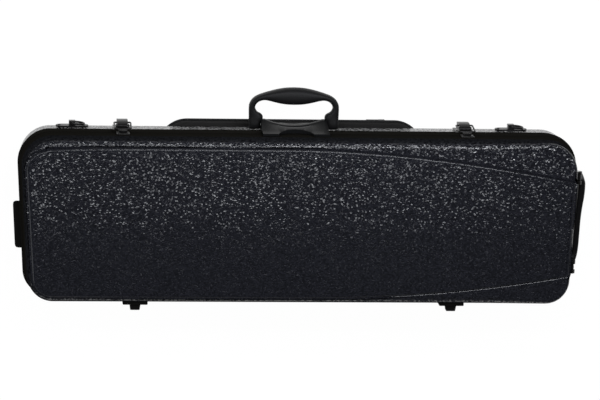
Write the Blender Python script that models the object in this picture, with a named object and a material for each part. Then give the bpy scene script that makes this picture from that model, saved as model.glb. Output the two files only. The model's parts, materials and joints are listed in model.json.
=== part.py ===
"""An oblong moulded violin case, lying on its back with the lid up.

Everything is modelled in the case's own frame: X runs along the length with the violin's broad end at +X,
Y from the handle side (-Y) to the hinge side (+Y), and Z up from the seam between lid and back. An empty
called case_frame then lifts it so that its lowest face is at Z = 0 and its footprint is centred.
"""

import math

import bmesh
import bpy
from mathutils import Matrix, Vector

MM = 0.001

# Running gaps and cuts
GAP = 0.3 * MM
PIN_PLAY = 0.08 * MM
OVERRUN = 4.0 * MM

# Case body, measured at the wall plane
CASE_LENGTH = 787.0 * MM
CASE_WIDTH = 231.0 * MM
BROAD_END_TAPER = 12.0 * MM
NARROW_END_TAPER = 8.0 * MM
FRONT_CORNER_RADIUS = 43.0 * MM
REAR_CORNER_RADIUS = 35.0 * MM
LID_DEPTH = 60.0 * MM
BACK_DEPTH = 66.0 * MM
LID_END_LEAN = 5.0 * MM
SHELL_WALL = 2.5 * MM
LID_EDGE_RADIUS = 10.0 * MM
BACK_EDGE_RADIUS = 14.0 * MM
CORNER_STEPS = 6
EDGE_STEPS = 4

# Raised panel on the lid
PANEL_RISE = 2.0 * MM
PANEL_ROOT = 1.2 * MM
PANEL_FRONT_INSET = 12.4 * MM
PANEL_REAR_INSET = 8.0 * MM
PANEL_BROAD_INSET = 11.5 * MM
PANEL_NARROW_INSET = 18.0 * MM
PANEL_FRONT_FALL = 43.8 * MM
PANEL_REAR_FALL = 34.0 * MM
PANEL_FALL_START = 10.0 * MM
PANEL_FRONT_POWER = 1.8
PANEL_REAR_POWER = 2.0
PANEL_CORNER_RADIUS = 28.0 * MM
PANEL_STEPS = 8

# Rims and seal
RIM_WALL = 5.0 * MM
LID_RIM_HEIGHT = 30.0 * MM
BACK_RIM_HEIGHT = 22.0 * MM
RIM_TONGUE = 8.0 * MM
RIM_PROUD = 1.0 * MM
LIP_REACH = 3.0 * MM
LIP_HEIGHT = 4.0 * MM
RIM_CHAMFER = 0.8 * MM
SEAM_GAP = 0.4 * MM
SEAL_STEP = 2.5 * MM

# Linings
LINER_WALL = 4.0 * MM
LINER_EDGE_RADIUS = 7.0 * MM
LINER_LIFT = 1.0 * MM
BED_DROP = 8.0 * MM
BED_EDGE_RADIUS = 11.5 * MM

# Violin's hollow in the bed
BODY_LENGTH = 364.0 * MM
BODY_HALF_WIDTH = 106.0 * MM
BODY_END_WALL = 10.0 * MM
BODY_FLOOR = 58.0 * MM
NECK_HALF_WIDTH = 30.0 * MM
NECK_FLOOR = 44.0 * MM
NECK_LENGTH = 122.0 * MM
SCROLL_HALF_WIDTH = 44.0 * MM
SCROLL_LENGTH = 126.0 * MM
SCROLL_FLOOR = 56.0 * MM
BODY_HALF_WIDTH_SHARES = [
    (0.0, 0.0), (0.008, 0.24), (0.03, 0.48), (0.07, 0.73), (0.13, 0.93), (0.21, 1.0), (0.31, 0.94), (0.4, 0.76),
    (0.48, 0.62), (0.57, 0.59), (0.66, 0.69), (0.75, 0.79), (0.83, 0.82), (0.91, 0.73), (0.965, 0.5), (1.0, 0.3),
]

# Compartments in the bed
END_BOX_LENGTH = 98.0 * MM
END_BOX_WALL = 16.0 * MM
END_BOX_SIDE_WALL = 23.5 * MM
END_BOX_FLOOR = 57.0 * MM
END_BOX_RADIUS = 20.0 * MM
SIDE_BOX_LENGTH = 104.0 * MM
SIDE_BOX_SIDE_WALL = 19.0 * MM
SIDE_BOX_FLOOR = 54.0 * MM
SIDE_BOX_WALL = 5.5 * MM
COVER_LEDGE = 3.0 * MM
COVER_THICKNESS = 4.0 * MM
TAB_LENGTH = 14.0 * MM
TAB_WIDTH = 10.0 * MM
TAB_THICKNESS = 1.0 * MM

# Pads, cradle and straps
PAD_HEIGHT = 12.0 * MM
LOWER_PAD_LENGTH = 44.0 * MM
LOWER_PAD_WIDTH = 116.0 * MM
UPPER_PAD_LENGTH = 34.0 * MM
UPPER_PAD_WIDTH = 84.0 * MM
PAD_INSET = 24.0 * MM
CRADLE_LENGTH = 36.0 * MM
CRADLE_HEIGHT = 22.0 * MM
CRADLE_NOTCH_RADIUS = 16.0 * MM
CRADLE_NOTCH_RISE = 4.0 * MM
STRAP_END_SETBACK = 11.8 * MM
STRAP_WIDTH = 24.0 * MM
STRAP_THICKNESS = 1.5 * MM
STRAP_SETBACK = 4.0 * MM

# Bow fittings in the lid
BOW_OFFSET = 58.0 * MM
CLIP_SETBACK = 121.5 * MM
CLIP_BASE_RADIUS = 11.0 * MM
CLIP_BASE_HEIGHT = 8.0 * MM
CLIP_PIN_RADIUS = 2.5 * MM
CLIP_PIN_LENGTH = 9.0 * MM
CLIP_LENGTH = 42.0 * MM
CLIP_WIDTH = 16.0 * MM
CLIP_HEIGHT = 6.0 * MM
TIP_SETBACK = 55.5 * MM
TIP_LENGTH = 34.0 * MM
TIP_WIDTH = 32.0 * MM
TIP_HEIGHT = 24.0 * MM
TIP_SOCKET_WIDTH = 22.0 * MM
TIP_SOCKET_HEIGHT = 16.0 * MM
TIP_SOCKET_DEPTH = 28.0 * MM

# Outside fittings share one midpoint, towards the heavier broad end; each pair is set back from the ends
FITTINGS_SHIFT = 6.0 * MM

# Main handle: o is the distance out from the wall plane
HANDLE_LEVEL = -30.0 * MM
HANDLE_PIVOT = 8.0 * MM
HANDLE_HALF_WIDTH = 63.8 * MM
HANDLE_CREST = 63.0 * MM
HANDLE_SHOULDER = 36.0 * MM
HANDLE_GRIP_UNDERSIDE = 38.3 * MM
HANDLE_GRIP_END = 46.2 * MM
HANDLE_BARB = 18.7 * MM
HANDLE_FOOT = 1.4 * MM
LEG_TOP_WIDTH = 8.8 * MM
LEG_BARB_WIDTH = 20.0 * MM
LEG_FOOT_WIDTH = 16.5 * MM
LEG_HALF_DEPTH = 6.6 * MM
GRIP_HALF_DEPTH = 11.0 * MM
HANDLE_CREST_SHARES = [(0.89, 0.735), (0.8, 0.82), (0.66, 0.885), (0.45, 0.95), (0.22, 0.988), (0.0, 1.0)]
HANDLE_UNDER_SHARES = [(0.0, 0.0), (0.25, 0.12), (0.45, 0.42), (0.65, 1.0)]
HANDLE_TURN_SHARES = (0.967, 0.66)

# Handle base
BASE_HALF_LENGTH = 47.0 * MM
BASE_RIDGE = 15.0 * MM
BASE_SADDLE = 6.5 * MM
BASE_REAR = 48.0 * MM
BASE_LOBE = 27.0 * MM
BASE_ARCH_RADIUS = 24.5 * MM
BASE_ARCH_DROP = 1.0 * MM
BASE_LOBE_WALL = 1.8 * MM
BARB_SWEEP = 21.0 * MM
HANDLE_PIN_RADIUS = 3.0 * MM
HANDLE_PIN_DEPTH = 13.0 * MM
HANDLE_PIN_INSET = 2.0 * MM
SCREW_PLACE = 25.0 * MM
SCREW_LEVEL = -40.0 * MM

# Rivets and screws
HEAD_RADIUS = 2.5 * MM
HEAD_CROWN = 1.7 * MM
HEAD_HEIGHT = 1.2 * MM
SHANK_RADIUS = 1.6 * MM
SHANK_LENGTH = 3.6 * MM
SCREW_LENGTH = 6.0 * MM
HOLE_PLAY = 0.15 * MM

# Draw latches
LATCH_SETBACK = 151.5 * MM
LATCH_WIDTH = 26.0 * MM
LATCH_PLATE = 1.5 * MM
LATCH_PLATE_TOP = -6.6 * MM
LATCH_PLATE_BOTTOM = -46.0 * MM
LATCH_PIVOT_OUT = 6.6 * MM
LATCH_PIVOT_LEVEL = -13.0 * MM
LATCH_PIN_RADIUS = 1.5 * MM
EAR_RADIUS = 3.3 * MM
EAR_THICKNESS = 1.5 * MM
LEVER_WIDTH = 15.0 * MM
LEVER_EYE_RADIUS = 3.4 * MM
LEVER_TAIL = 44.0 * MM
BAIL_OUT = 10.3 * MM
BAIL_LEVEL = -21.0 * MM
BAIL_BAR_OUT = 6.8 * MM
BAIL_BAR_LEVEL = 12.0 * MM
BAIL_WIRE_RADIUS = 1.2 * MM
BAIL_HALF_WIDTH = 11.6 * MM
BAIL_BEND = 4.0 * MM
BAIL_STUB_END = 5.2 * MM
BAIL_HOLE_END = 4.4 * MM
KEEPER_WIDTH = 18.0 * MM
KEEPER_BOTTOM = 5.0 * MM
KEEPER_TOP = 26.0 * MM
HOOK_WIDTH = 12.0 * MM
HOOK_LEVEL = 8.0 * MM
HOOK_ARM = 2.0 * MM
HOOK_REACH = 5.0 * MM
HOOK_LIP = 1.4 * MM
HOOK_TOP = 14.0 * MM

# Strap plates and their rings
STRAP_PLATE_SETBACK = 81.5 * MM
STRAP_PLATE_LEVEL = -42.0 * MM
STRAP_PLATE_LENGTH = 46.0 * MM
STRAP_PLATE_HEIGHT = 18.0 * MM
STRAP_PLATE_THICKNESS = 2.5 * MM
BOSS_LENGTH = 9.0 * MM
BOSS_HEIGHT = 11.0 * MM
BOSS_REACH = 9.0 * MM
RING_AXIS = 6.0 * MM
RING_WIRE_RADIUS = 1.5 * MM
RING_BAR = 19.0 * MM
RING_REACH = 17.0 * MM
STRAP_RIVET_PLACE = 18.0 * MM

# Feet
FOOT_SETBACK = 170.5 * MM
LID_FOOT_LEVEL = 34.0 * MM
BACK_FOOT_LEVEL = -38.0 * MM
FOOT_FLANGE_LENGTH = 35.0 * MM
FOOT_FLANGE_WIDTH = 24.0 * MM
FOOT_FLANGE_THICKNESS = 4.2 * MM
FOOT_ROOT_LENGTH = 16.5 * MM
FOOT_TIP_LENGTH = 13.0 * MM
FOOT_ROOT_WIDTH = 14.0 * MM
FOOT_TIP_WIDTH = 11.0 * MM
FOOT_HEIGHT = 11.5 * MM
END_FOOT_SHIFT = 24.0 * MM
END_FOOT_LENGTH = 65.0 * MM
END_FOOT_WIDTH = 20.0 * MM
END_FOOT_HEIGHT = 7.0 * MM
END_FOOT_STEP = 1.2 * MM
END_FOOT_CAP = 9.0 * MM
END_FOOT_LEVEL = -38.0 * MM

# End handle: hangs from two brackets, s runs along the narrow end's wall
END_HANDLE_SHIFT = 15.0 * MM
END_PIVOT_OUT = 13.0 * MM
END_PIVOT_LEVEL = -33.0 * MM
END_ARM_PLACE = 65.0 * MM
END_ARM_WIDTH = 8.0 * MM
END_EYE_RADIUS = 6.0 * MM
END_GRIP_DROP = 23.0 * MM
END_GRIP_HEIGHT = 12.0 * MM
END_GRIP_DEPTH = 8.0 * MM
END_PIN_RADIUS = 2.0 * MM
BRACKET_LENGTH = 28.0 * MM
BRACKET_WIDTH = 18.0 * MM
BRACKET_PLATE = 2.2 * MM
BRACKET_EAR = 5.0 * MM

# Hinges
HINGE_SETBACK = 223.5 * MM
HINGE_LENGTH = 60.0 * MM
HINGE_KNUCKLE = 20.0 * MM
HINGE_AXIS_OUT = 6.5 * MM
HINGE_AXIS_LEVEL = 0.2 * MM
HINGE_RADIUS = 3.2 * MM
HINGE_PIN_RADIUS = 1.5 * MM
HINGE_PLATE = 1.5 * MM
HINGE_PLATE_REACH = 24.0 * MM
HINGE_RIVET_PLACE = 20.0 * MM
HINGE_RIVET_LEVEL = 17.0 * MM

# Music pocket
POCKET_SETBACK = 217.0 * MM
POCKET_OVERHANG = 4.5 * MM
POCKET_DEPTH = 18.0 * MM
POCKET_RADIUS = 34.0 * MM
POCKET_BULGE = 6.0 * MM
PIPING_RADIUS = 1.8 * MM
ZIP_WIDTH = 7.0 * MM
ZIP_THICKNESS = 1.2 * MM
ZIP_LENGTH = 270.0 * MM
SLIDER_LENGTH = 9.0 * MM
SLIDER_WIDTH = 8.0 * MM
SLIDER_THICKNESS = 1.6 * MM
PULL_LENGTH = 22.0 * MM
PULL_WIDTH = 5.0 * MM

# Facets of round pieces
PIN_SIDES = 20
DISC_SIDES = 28
RIVET_SIDES = 10
EYE_STEPS = 8

# Colour, roughness and metallic value of each finish
SHELL_LOOK = ((0.0065, 0.0070, 0.0090), 0.35, 0.0)
RIM_LOOK = ((0.0110, 0.0105, 0.0095), 0.5, 0.0)
RUBBER_LOOK = ((0.0075, 0.0075, 0.0075), 0.75, 0.0)
GRIP_LOOK = ((0.0120, 0.0120, 0.0125), 0.55, 0.0)
BLACK_METAL_LOOK = ((0.0150, 0.0150, 0.0150), 0.35, 0.8)
STEEL_LOOK = ((0.55, 0.55, 0.54), 0.3, 1.0)
NYLON_LOOK = ((0.0045, 0.0042, 0.0040), 0.85, 0.0)
VELVET_LOOK = ((0.035, 0.037, 0.043), 0.9, 0.0)
LINING_LOOK = ((0.050, 0.052, 0.058), 0.9, 0.0)

for leftover in list(bpy.data.objects):
    bpy.data.objects.remove(leftover)

parts = bpy.data.collections.new("violin_case")
cutters = bpy.data.collections.new("cutters")
bpy.context.scene.collection.children.link(parts)
bpy.context.scene.collection.children.link(cutters)

case = bpy.data.objects.new("case_frame", None)
parts.objects.link(case)


# Building blocks


def finish(name, bm, look, parent=case, origin=(0, 0, 0)):
    """Turn a bmesh into a named part with its own material, its origin on a given point of its parent's frame."""
    bmesh.ops.recalc_face_normals(bm, faces=bm.faces)
    bmesh.ops.translate(bm, verts=bm.verts, vec=-Vector(origin))
    mesh = bpy.data.meshes.new(name)
    bm.to_mesh(mesh)
    bm.free()
    mesh.shade_smooth()
    mesh.set_sharp_from_angle(angle=math.radians(35))
    part = bpy.data.objects.new(name, mesh)
    part.location = origin
    part.parent = parent
    if look is None:
        cutters.objects.link(part)
        part.hide_render = True
        part.display_type = "WIRE"
        return part
    parts.objects.link(part)
    colour, roughness, metallic = look
    material = bpy.data.materials.new(name)
    material.use_nodes = True
    shader = material.node_tree.nodes["Principled BSDF"]
    shader.inputs["Base Color"].default_value = (*colour, 1.0)
    shader.inputs["Roughness"].default_value = roughness
    shader.inputs["Metallic"].default_value = metallic
    mesh.materials.append(material)
    return part


def combine(part, other, operation):
    """Cut, join or clip a part with another object through a Boolean."""
    boolean = part.modifiers.new(other.name, "BOOLEAN")
    boolean.operation = operation
    boolean.object = other


def skin(loops, closed=False):
    """A closed skin through loops with the same number of points: capped at both ends, or joined end to end."""
    bm = bmesh.new()
    rings = [[bm.verts.new(point) for point in loop] for loop in loops]
    following = rings[1:] + rings[:1] if closed else rings[1:]
    for low, high in zip(rings, following):
        for k in range(len(low)):
            after = (k + 1) % len(low)
            bm.faces.new((low[k], low[after], high[after], high[k]))
    if not closed:
        bm.faces.new(list(reversed(rings[0])))
        bm.faces.new(rings[-1])
    return bm


def block(low, high):
    """A box between two opposite corners."""
    bm = bmesh.new()
    size = Vector(high) - Vector(low)
    middle = (Vector(high) + Vector(low)) / 2
    bmesh.ops.create_cube(bm, size=1.0, matrix=Matrix.Translation(middle) @ Matrix.Diagonal((*size, 1.0)))
    return bm


def rod(start, end, radius, sides=PIN_SIDES, bm=None):
    """A cylinder between two points, added to bm when one is given."""
    bm = bm or bmesh.new()
    run = Vector(end) - Vector(start)
    turn = run.to_track_quat("Z", "Y").to_matrix().to_4x4()
    middle = Matrix.Translation((Vector(start) + Vector(end)) / 2)
    bmesh.ops.create_cone(
        bm, cap_ends=True, segments=sides, radius1=radius, radius2=radius, depth=run.length, matrix=middle @ turn
    )
    return bm


def extrude_x(outline, low, high):
    """A (y, z) outline drawn out along X."""
    return skin([[(x, y, z) for y, z in outline] for x in (low, high)])


def extrude_y(outline, low, high):
    """An (x, z) outline drawn out along Y."""
    return skin([[(x, y, z) for x, z in outline] for y in (low, high)])


def extrude_z(outline, low, high):
    """An (x, y) outline drawn out along Z."""
    return skin([[(x, y, z) for x, y in outline] for z in (low, high)])


def arc(centre, radius, start, end, steps):
    """Points of an arc, angles in degrees."""
    points = []
    for k in range(steps + 1):
        angle = math.radians(start + (end - start) * k / steps)
        points.append((centre[0] + radius * math.cos(angle), centre[1] + radius * math.sin(angle)))
    return points


def stadium(length, height, steps=EYE_STEPS):
    """A plan with two straight sides and half-round ends, centred on zero."""
    radius = height / 2
    reach = length / 2 - radius
    return arc((reach, 0), radius, -90, 90, steps) + arc((-reach, 0), radius, 90, 270, steps)


def rounded_plan(corners, grow=0.0, steps=CORNER_STEPS):
    """An anticlockwise plan from (x, y, radius) corners, moved out by grow."""
    points = []
    for i, (x, y, radius) in enumerate(corners):
        corner = Vector((x, y))
        before = corner - Vector(corners[i - 1][:2])
        after = Vector(corners[(i + 1) % len(corners)][:2]) - corner
        first = Vector((before.y, -before.x)).normalized()
        second = Vector((after.y, -after.x)).normalized()
        normals = Matrix(((first.x, first.y), (second.x, second.y)))
        centre = corner + normals.inverted() @ Vector((-radius, -radius))
        start = math.degrees(math.atan2(first.y, first.x))
        turn = (math.degrees(math.atan2(second.y, second.x)) - start) % 360
        points += arc(centre, radius + grow, start, start + turn, steps)
    return points


def rectangle(x_low, x_high, y_low, y_high, radius):
    """Corners for a plan of one radius."""
    return [(x_high, y_low, radius), (x_high, y_high, radius), (x_low, y_high, radius), (x_low, y_low, radius)]


def case_loop(grow, level):
    """The case's plan at a height: grow is the distance out from the wall plane. Only the lid's ends lean in."""
    half = CASE_LENGTH / 2 - LID_END_LEAN * max(level, 0) / LID_DEPTH
    side = CASE_WIDTH / 2
    corners = [
        (half, -side, FRONT_CORNER_RADIUS),
        (half - BROAD_END_TAPER, side, REAR_CORNER_RADIUS),
        (-half + NARROW_END_TAPER, side, REAR_CORNER_RADIUS),
        (-half, -side, FRONT_CORNER_RADIUS),
    ]
    return [(x, y, level) for x, y in rounded_plan(corners, grow)]


def case_ring(profile):
    """A closed (grow, level) profile carried round the case."""
    return skin([case_loop(grow, level) for grow, level in profile], closed=True)


def edge(wall, flat, radius, sign):
    """The rounded edge from a wall at distance wall to a flat at height flat, above (sign 1) or below (-1)."""
    points = []
    for k in range(EDGE_STEPS + 1):
        angle = math.pi / 2 * k / EDGE_STEPS
        drop = radius * (1 - math.sin(angle))
        points.append((wall - radius * (1 - math.cos(angle)), flat - sign * drop))
    return points


def tray(wall, flat, radius, thickness, rim, sign):
    """Loops of a tray with a rounded edge, from its inner floor out over its rim to its outer floor."""
    inside = edge(wall - thickness, flat - sign * thickness, radius - thickness, sign)
    outside = edge(wall, flat, radius, sign)
    profile = inside[::-1] + [(wall - thickness, rim), (wall, rim)] + outside
    return skin([case_loop(grow, level) for grow, level in profile])


def rivet(bm, place, normal, shank=SHANK_LENGTH):
    """A low-headed rivet: its head's flat underside at place, its head towards normal."""
    pose = Matrix.Translation(place) @ Vector(normal).to_track_quat("Z", "Y").to_matrix().to_4x4()
    made = bmesh.ops.create_cone(
        bm, cap_ends=True, segments=RIVET_SIDES, radius1=HEAD_RADIUS, radius2=HEAD_CROWN, depth=HEAD_HEIGHT,
        matrix=pose @ Matrix.Translation((0, 0, HEAD_HEIGHT / 2)),
    )
    faces = {face for vert in made["verts"] for face in vert.link_faces}
    under = min(faces, key=lambda face: (pose.inverted() @ face.calc_center_median()).z)
    bmesh.ops.inset_individual(bm, faces=[under], thickness=HEAD_RADIUS - SHANK_RADIUS)
    pushed = bmesh.ops.extrude_discrete_faces(bm, faces=[under])
    bmesh.ops.translate(bm, verts=pushed["faces"][0].verts, vec=-Vector(normal) * shank)


def fasten(name, plate, places, held, parent=case, shank=SHANK_LENGTH):
    """Rivet a plate to the pieces behind it: heads and shanks become one with the plate, the others are drilled.

    places is a list of (point on the plate's face, outward normal).
    """
    heads = bmesh.new()
    holes = bmesh.new()
    for place, normal in places:
        rivet(heads, Vector(place) - Vector(normal) * GAP, normal, shank)
        start = Vector(place) - Vector(normal) * (shank + 2 * GAP)
        rod(start, Vector(place) + Vector(normal) * OVERRUN, SHANK_RADIUS + HOLE_PLAY, RIVET_SIDES, holes)
    combine(plate, finish(name + "_rivets", heads, None, parent), "UNION")
    drill = finish(name + "_rivet_holes", holes, None, parent)
    for piece in held:
        combine(piece, drill, "DIFFERENCE")


def wire(name, points, radius, look, cyclic, origin, resolution=2):
    """A round wire along points, as a curve with a bevel, made a closed mesh."""
    curve = bpy.data.curves.new(name, "CURVE")
    curve.dimensions = "3D"
    curve.bevel_depth = radius
    curve.bevel_resolution = resolution
    curve.use_fill_caps = True
    spline = curve.splines.new("POLY")
    spline.points.add(len(points) - 1)
    spline.use_cyclic_u = cyclic
    for target, point in zip(spline.points, points):
        target.co = (*point, 1.0)
    guide = bpy.data.objects.new(name + "_path", curve)
    parts.objects.link(guide)
    bpy.context.view_layer.update()
    mesh = bpy.data.meshes.new_from_object(guide.evaluated_get(bpy.context.evaluated_depsgraph_get()))
    bpy.data.objects.remove(guide)
    bm = bmesh.new()
    bm.from_mesh(mesh)
    bpy.data.meshes.remove(mesh)
    bmesh.ops.remove_doubles(bm, verts=bm.verts, dist=radius / 100)
    return finish(name, bm, look, case, origin)


def front(out):
    """Y of a point this far out from the handle side's wall plane."""
    return -CASE_WIDTH / 2 - out


def rear(out):
    """Y of a point this far out from the hinge side's wall plane."""
    return CASE_WIDTH / 2 + out


def set_back(sign, distance):
    """X of an outside fitting that stands this far in from the broad (+1) or the narrow (-1) end."""
    return FITTINGS_SHIFT + sign * (CASE_LENGTH / 2 - distance)


def end_frame(name, sign, taper, shift):
    """An empty on an end wall, this far towards the hinges, its Y along the wall and its X pointing out."""
    frame = bpy.data.objects.new(name, None)
    parts.objects.link(frame)
    frame.parent = case
    share = (shift + CASE_WIDTH / 2) / CASE_WIDTH
    frame.location = (sign * (CASE_LENGTH / 2 - taper * share), shift, 0)
    slant = math.atan2(taper, CASE_WIDTH)
    frame.rotation_euler = (0, 0, slant if sign > 0 else math.pi - slant)
    return frame


broad_end = end_frame("broad_end_frame", 1, BROAD_END_TAPER, END_FOOT_SHIFT)
narrow_end = end_frame("narrow_end_frame", -1, NARROW_END_TAPER, END_HANDLE_SHIFT)


# Shells, rims, seal and linings


def panel_outline():
    """Plan of the lid's raised panel: full width at the broad end, its long sides closing in to the narrow end."""
    broad = CASE_LENGTH / 2 - PANEL_BROAD_INSET
    narrow = -CASE_LENGTH / 2 + LID_END_LEAN + PANEL_NARROW_INSET
    run = PANEL_FALL_START - narrow
    front_side, rear_side = [], []
    for k in range(PANEL_STEPS + 1):
        share = k / PANEL_STEPS
        x = PANEL_FALL_START - run * share
        front_side.append((x, front(-PANEL_FRONT_INSET - PANEL_FRONT_FALL * share**PANEL_FRONT_POWER)))
        rear_side.append((x, rear(-PANEL_REAR_INSET - PANEL_REAR_FALL * share**PANEL_REAR_POWER)))
    radius = PANEL_CORNER_RADIUS
    front_corner = (broad - radius, front(-PANEL_FRONT_INSET - radius))
    rear_corner = (broad - BROAD_END_TAPER - radius, rear(-PANEL_REAR_INSET - radius))
    return (
        arc(front_corner, radius, -90, 0, CORNER_STEPS)
        + arc(rear_corner, radius, 0, 90, CORNER_STEPS)
        + rear_side
        + front_side[::-1]
    )


def make_lid_shell():
    """Embossed lid: a tray with its rounded edge up, and the raised panel joined to its top."""
    rim = LID_RIM_HEIGHT + GAP
    shell = finish("lid_shell", tray(0, LID_DEPTH, LID_EDGE_RADIUS, SHELL_WALL, rim, 1), SHELL_LOOK)
    low, high = LID_DEPTH - PANEL_ROOT, LID_DEPTH + PANEL_RISE
    combine(shell, finish("panel_pad", extrude_z(panel_outline(), low, high), None), "UNION")
    return shell


def make_back_shell():
    """Back: a tray with its rounded edge down."""
    rim = -BACK_RIM_HEIGHT - GAP
    return finish("back_shell", tray(0, -BACK_DEPTH, BACK_EDGE_RADIUS, SHELL_WALL, rim, -1), SHELL_LOOK)


def make_rims():
    """Smooth bands along the seam; each has a tongue behind its shell's edge, and the back's has the lip."""
    tongue = SHELL_WALL + GAP
    lid_rim = case_ring([
        (-RIM_WALL, SEAM_GAP), (-RIM_CHAMFER, SEAM_GAP), (0, SEAM_GAP + RIM_CHAMFER), (0, LID_RIM_HEIGHT),
        (-tongue, LID_RIM_HEIGHT), (-tongue, LID_RIM_HEIGHT + RIM_TONGUE),
        (-RIM_WALL, LID_RIM_HEIGHT + RIM_TONGUE),
    ])
    back_rim = case_ring([
        (-RIM_WALL, -BACK_RIM_HEIGHT - RIM_TONGUE), (-tongue, -BACK_RIM_HEIGHT - RIM_TONGUE),
        (-tongue, -BACK_RIM_HEIGHT), (RIM_PROUD, -BACK_RIM_HEIGHT),
        (RIM_PROUD, -LIP_HEIGHT - LIP_REACH + RIM_PROUD),
        (LIP_REACH, -LIP_HEIGHT), (LIP_REACH, -RIM_CHAMFER), (LIP_REACH - RIM_CHAMFER, 0), (-SEAL_STEP, 0),
        (-SEAL_STEP, -SEAL_STEP), (-RIM_WALL, -SEAL_STEP),
    ])
    seal_low, seal_high = -SEAL_STEP + GAP, SEAM_GAP - GAP
    seal_out, seal_in = -SEAL_STEP - GAP, -RIM_WALL
    crown = (seal_out - seal_in) / 3
    seal = case_ring([
        (seal_in, seal_low), (seal_out, seal_low), (seal_out, seal_high - crown), (seal_out - crown, seal_high),
        (seal_in + crown, seal_high), (seal_in, seal_high - crown),
    ])
    finish("rim_seal", seal, RUBBER_LOOK)
    return finish("lid_rim", lid_rim, RIM_LOOK), finish("back_rim", back_rim, RIM_LOOK)


def make_lid_liner():
    """Padded lining of the lid."""
    wall = -RIM_WALL - GAP
    ceiling = LID_DEPTH - SHELL_WALL - GAP
    finish("lid_liner", tray(wall, ceiling, LINER_EDGE_RADIUS, LINER_WALL, LINER_LIFT, 1), LINING_LOOK)


body_end = CASE_LENGTH / 2 - BROAD_END_TAPER / 2 - RIM_WALL - BODY_END_WALL
body_start = body_end - BODY_LENGTH
neck_end = body_start - NECK_LENGTH
scroll_end = neck_end - SCROLL_LENGTH
side_box_low = scroll_end + COVER_LEDGE
side_box_inner = SCROLL_HALF_WIDTH + SIDE_BOX_WALL + COVER_LEDGE
side_box_outer = CASE_WIDTH / 2 - SIDE_BOX_SIDE_WALL
bed_top = -BED_DROP
bed_floor = -BACK_DEPTH + SHELL_WALL + GAP


def body_outline():
    """Plan of the violin's body, broad bouts towards +X."""
    upper = [(body_end - BODY_LENGTH * along, BODY_HALF_WIDTH * half) for along, half in BODY_HALF_WIDTH_SHARES]
    lower = [(x, -y) for x, y in reversed(upper[1:])]
    return upper + lower


def side_box(side, ledge):
    """Plan corners of the compartment on one side of the scroll, widened by its cover's ledge."""
    low, high = side_box_low - ledge, side_box_low + SIDE_BOX_LENGTH + ledge
    inner, outer = side_box_inner - ledge, side_box_outer + ledge
    y_low, y_high = sorted((side * inner, side * outer))
    return low, high, y_low, y_high


def make_bed():
    """Padded block that fills the back, with every hollow cut from above."""
    wall = -RIM_WALL - GAP
    profile = [(wall, bed_top)] + edge(wall, bed_floor, BED_EDGE_RADIUS, -1)
    bed = finish("suspension_bed", skin([case_loop(grow, level) for grow, level in profile]), VELVET_LOOK)
    top = bed_top + OVERRUN
    combine(bed, finish("body_hollow", extrude_z(body_outline(), -BODY_FLOOR, top), None), "DIFFERENCE")
    neck = block((neck_end - OVERRUN, -NECK_HALF_WIDTH, -NECK_FLOOR), (body_start + OVERRUN, NECK_HALF_WIDTH, top))
    combine(bed, finish("neck_channel", neck, None), "DIFFERENCE")
    scroll = block((scroll_end, -SCROLL_HALF_WIDTH, -SCROLL_FLOOR), (neck_end, SCROLL_HALF_WIDTH, top))
    combine(bed, finish("scroll_pocket", scroll, None), "DIFFERENCE")
    end_high = scroll_end - END_BOX_WALL
    end_half = CASE_WIDTH / 2 - END_BOX_SIDE_WALL
    end_plan = rectangle(end_high - END_BOX_LENGTH, end_high, -end_half, end_half, END_BOX_RADIUS)
    end_box = extrude_z(rounded_plan(end_plan), -END_BOX_FLOOR, top)
    combine(bed, finish("end_compartment", end_box, None), "DIFFERENCE")
    for side, word in ((-1, "front"), (1, "rear")):
        low, high, y_low, y_high = side_box(side, 0)
        hollow = block((low, y_low, -SIDE_BOX_FLOOR), (high, y_high, top))
        combine(bed, finish(f"side_compartment_{word}", hollow, None), "DIFFERENCE")
        low, high, y_low, y_high = side_box(side, COVER_LEDGE)
        recess = block((low, y_low, bed_top - COVER_THICKNESS - GAP), (high, y_high, top))
        combine(bed, finish(f"cover_recess_{word}", recess, None), "DIFFERENCE")


def make_covers():
    """Padded covers of the side compartments, hinged along the edge beside the scroll."""
    for side, word in ((-1, "front"), (1, "rear")):
        low, high, y_low, y_high = side_box(side, COVER_LEDGE - GAP)
        hinge = (0, side * (side_box_inner - COVER_LEDGE + GAP), bed_top)
        slab = block((low, y_low, bed_top - COVER_THICKNESS), (high, y_high, bed_top))
        cover = finish(f"accessory_lid_{word}", slab, VELVET_LOOK, origin=hinge)
        outer = side * side_box_outer
        tab_low, tab_high = sorted((outer, outer - side * TAB_LENGTH))
        middle = (low + high) / 2
        tab = block(
            (middle - TAB_WIDTH / 2, tab_low, bed_top - TAB_THICKNESS),
            (middle + TAB_WIDTH / 2, tab_high, bed_top + TAB_THICKNESS),
        )
        combine(cover, finish(f"cover_tab_{word}", tab, None), "UNION")


def make_pads():
    """Two pads that hold the violin's back off the floor of its hollow."""
    floor = -BODY_FLOOR + GAP
    for word, end, length, width in (
        ("lower", body_end - PAD_INSET, LOWER_PAD_LENGTH, LOWER_PAD_WIDTH),
        ("upper", body_start + PAD_INSET + UPPER_PAD_LENGTH, UPPER_PAD_LENGTH, UPPER_PAD_WIDTH),
    ):
        pad = block((end - length, -width / 2, floor), (end, width / 2, floor + PAD_HEIGHT))
        finish(f"{word}_bout_pad", pad, VELVET_LOOK)


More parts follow.
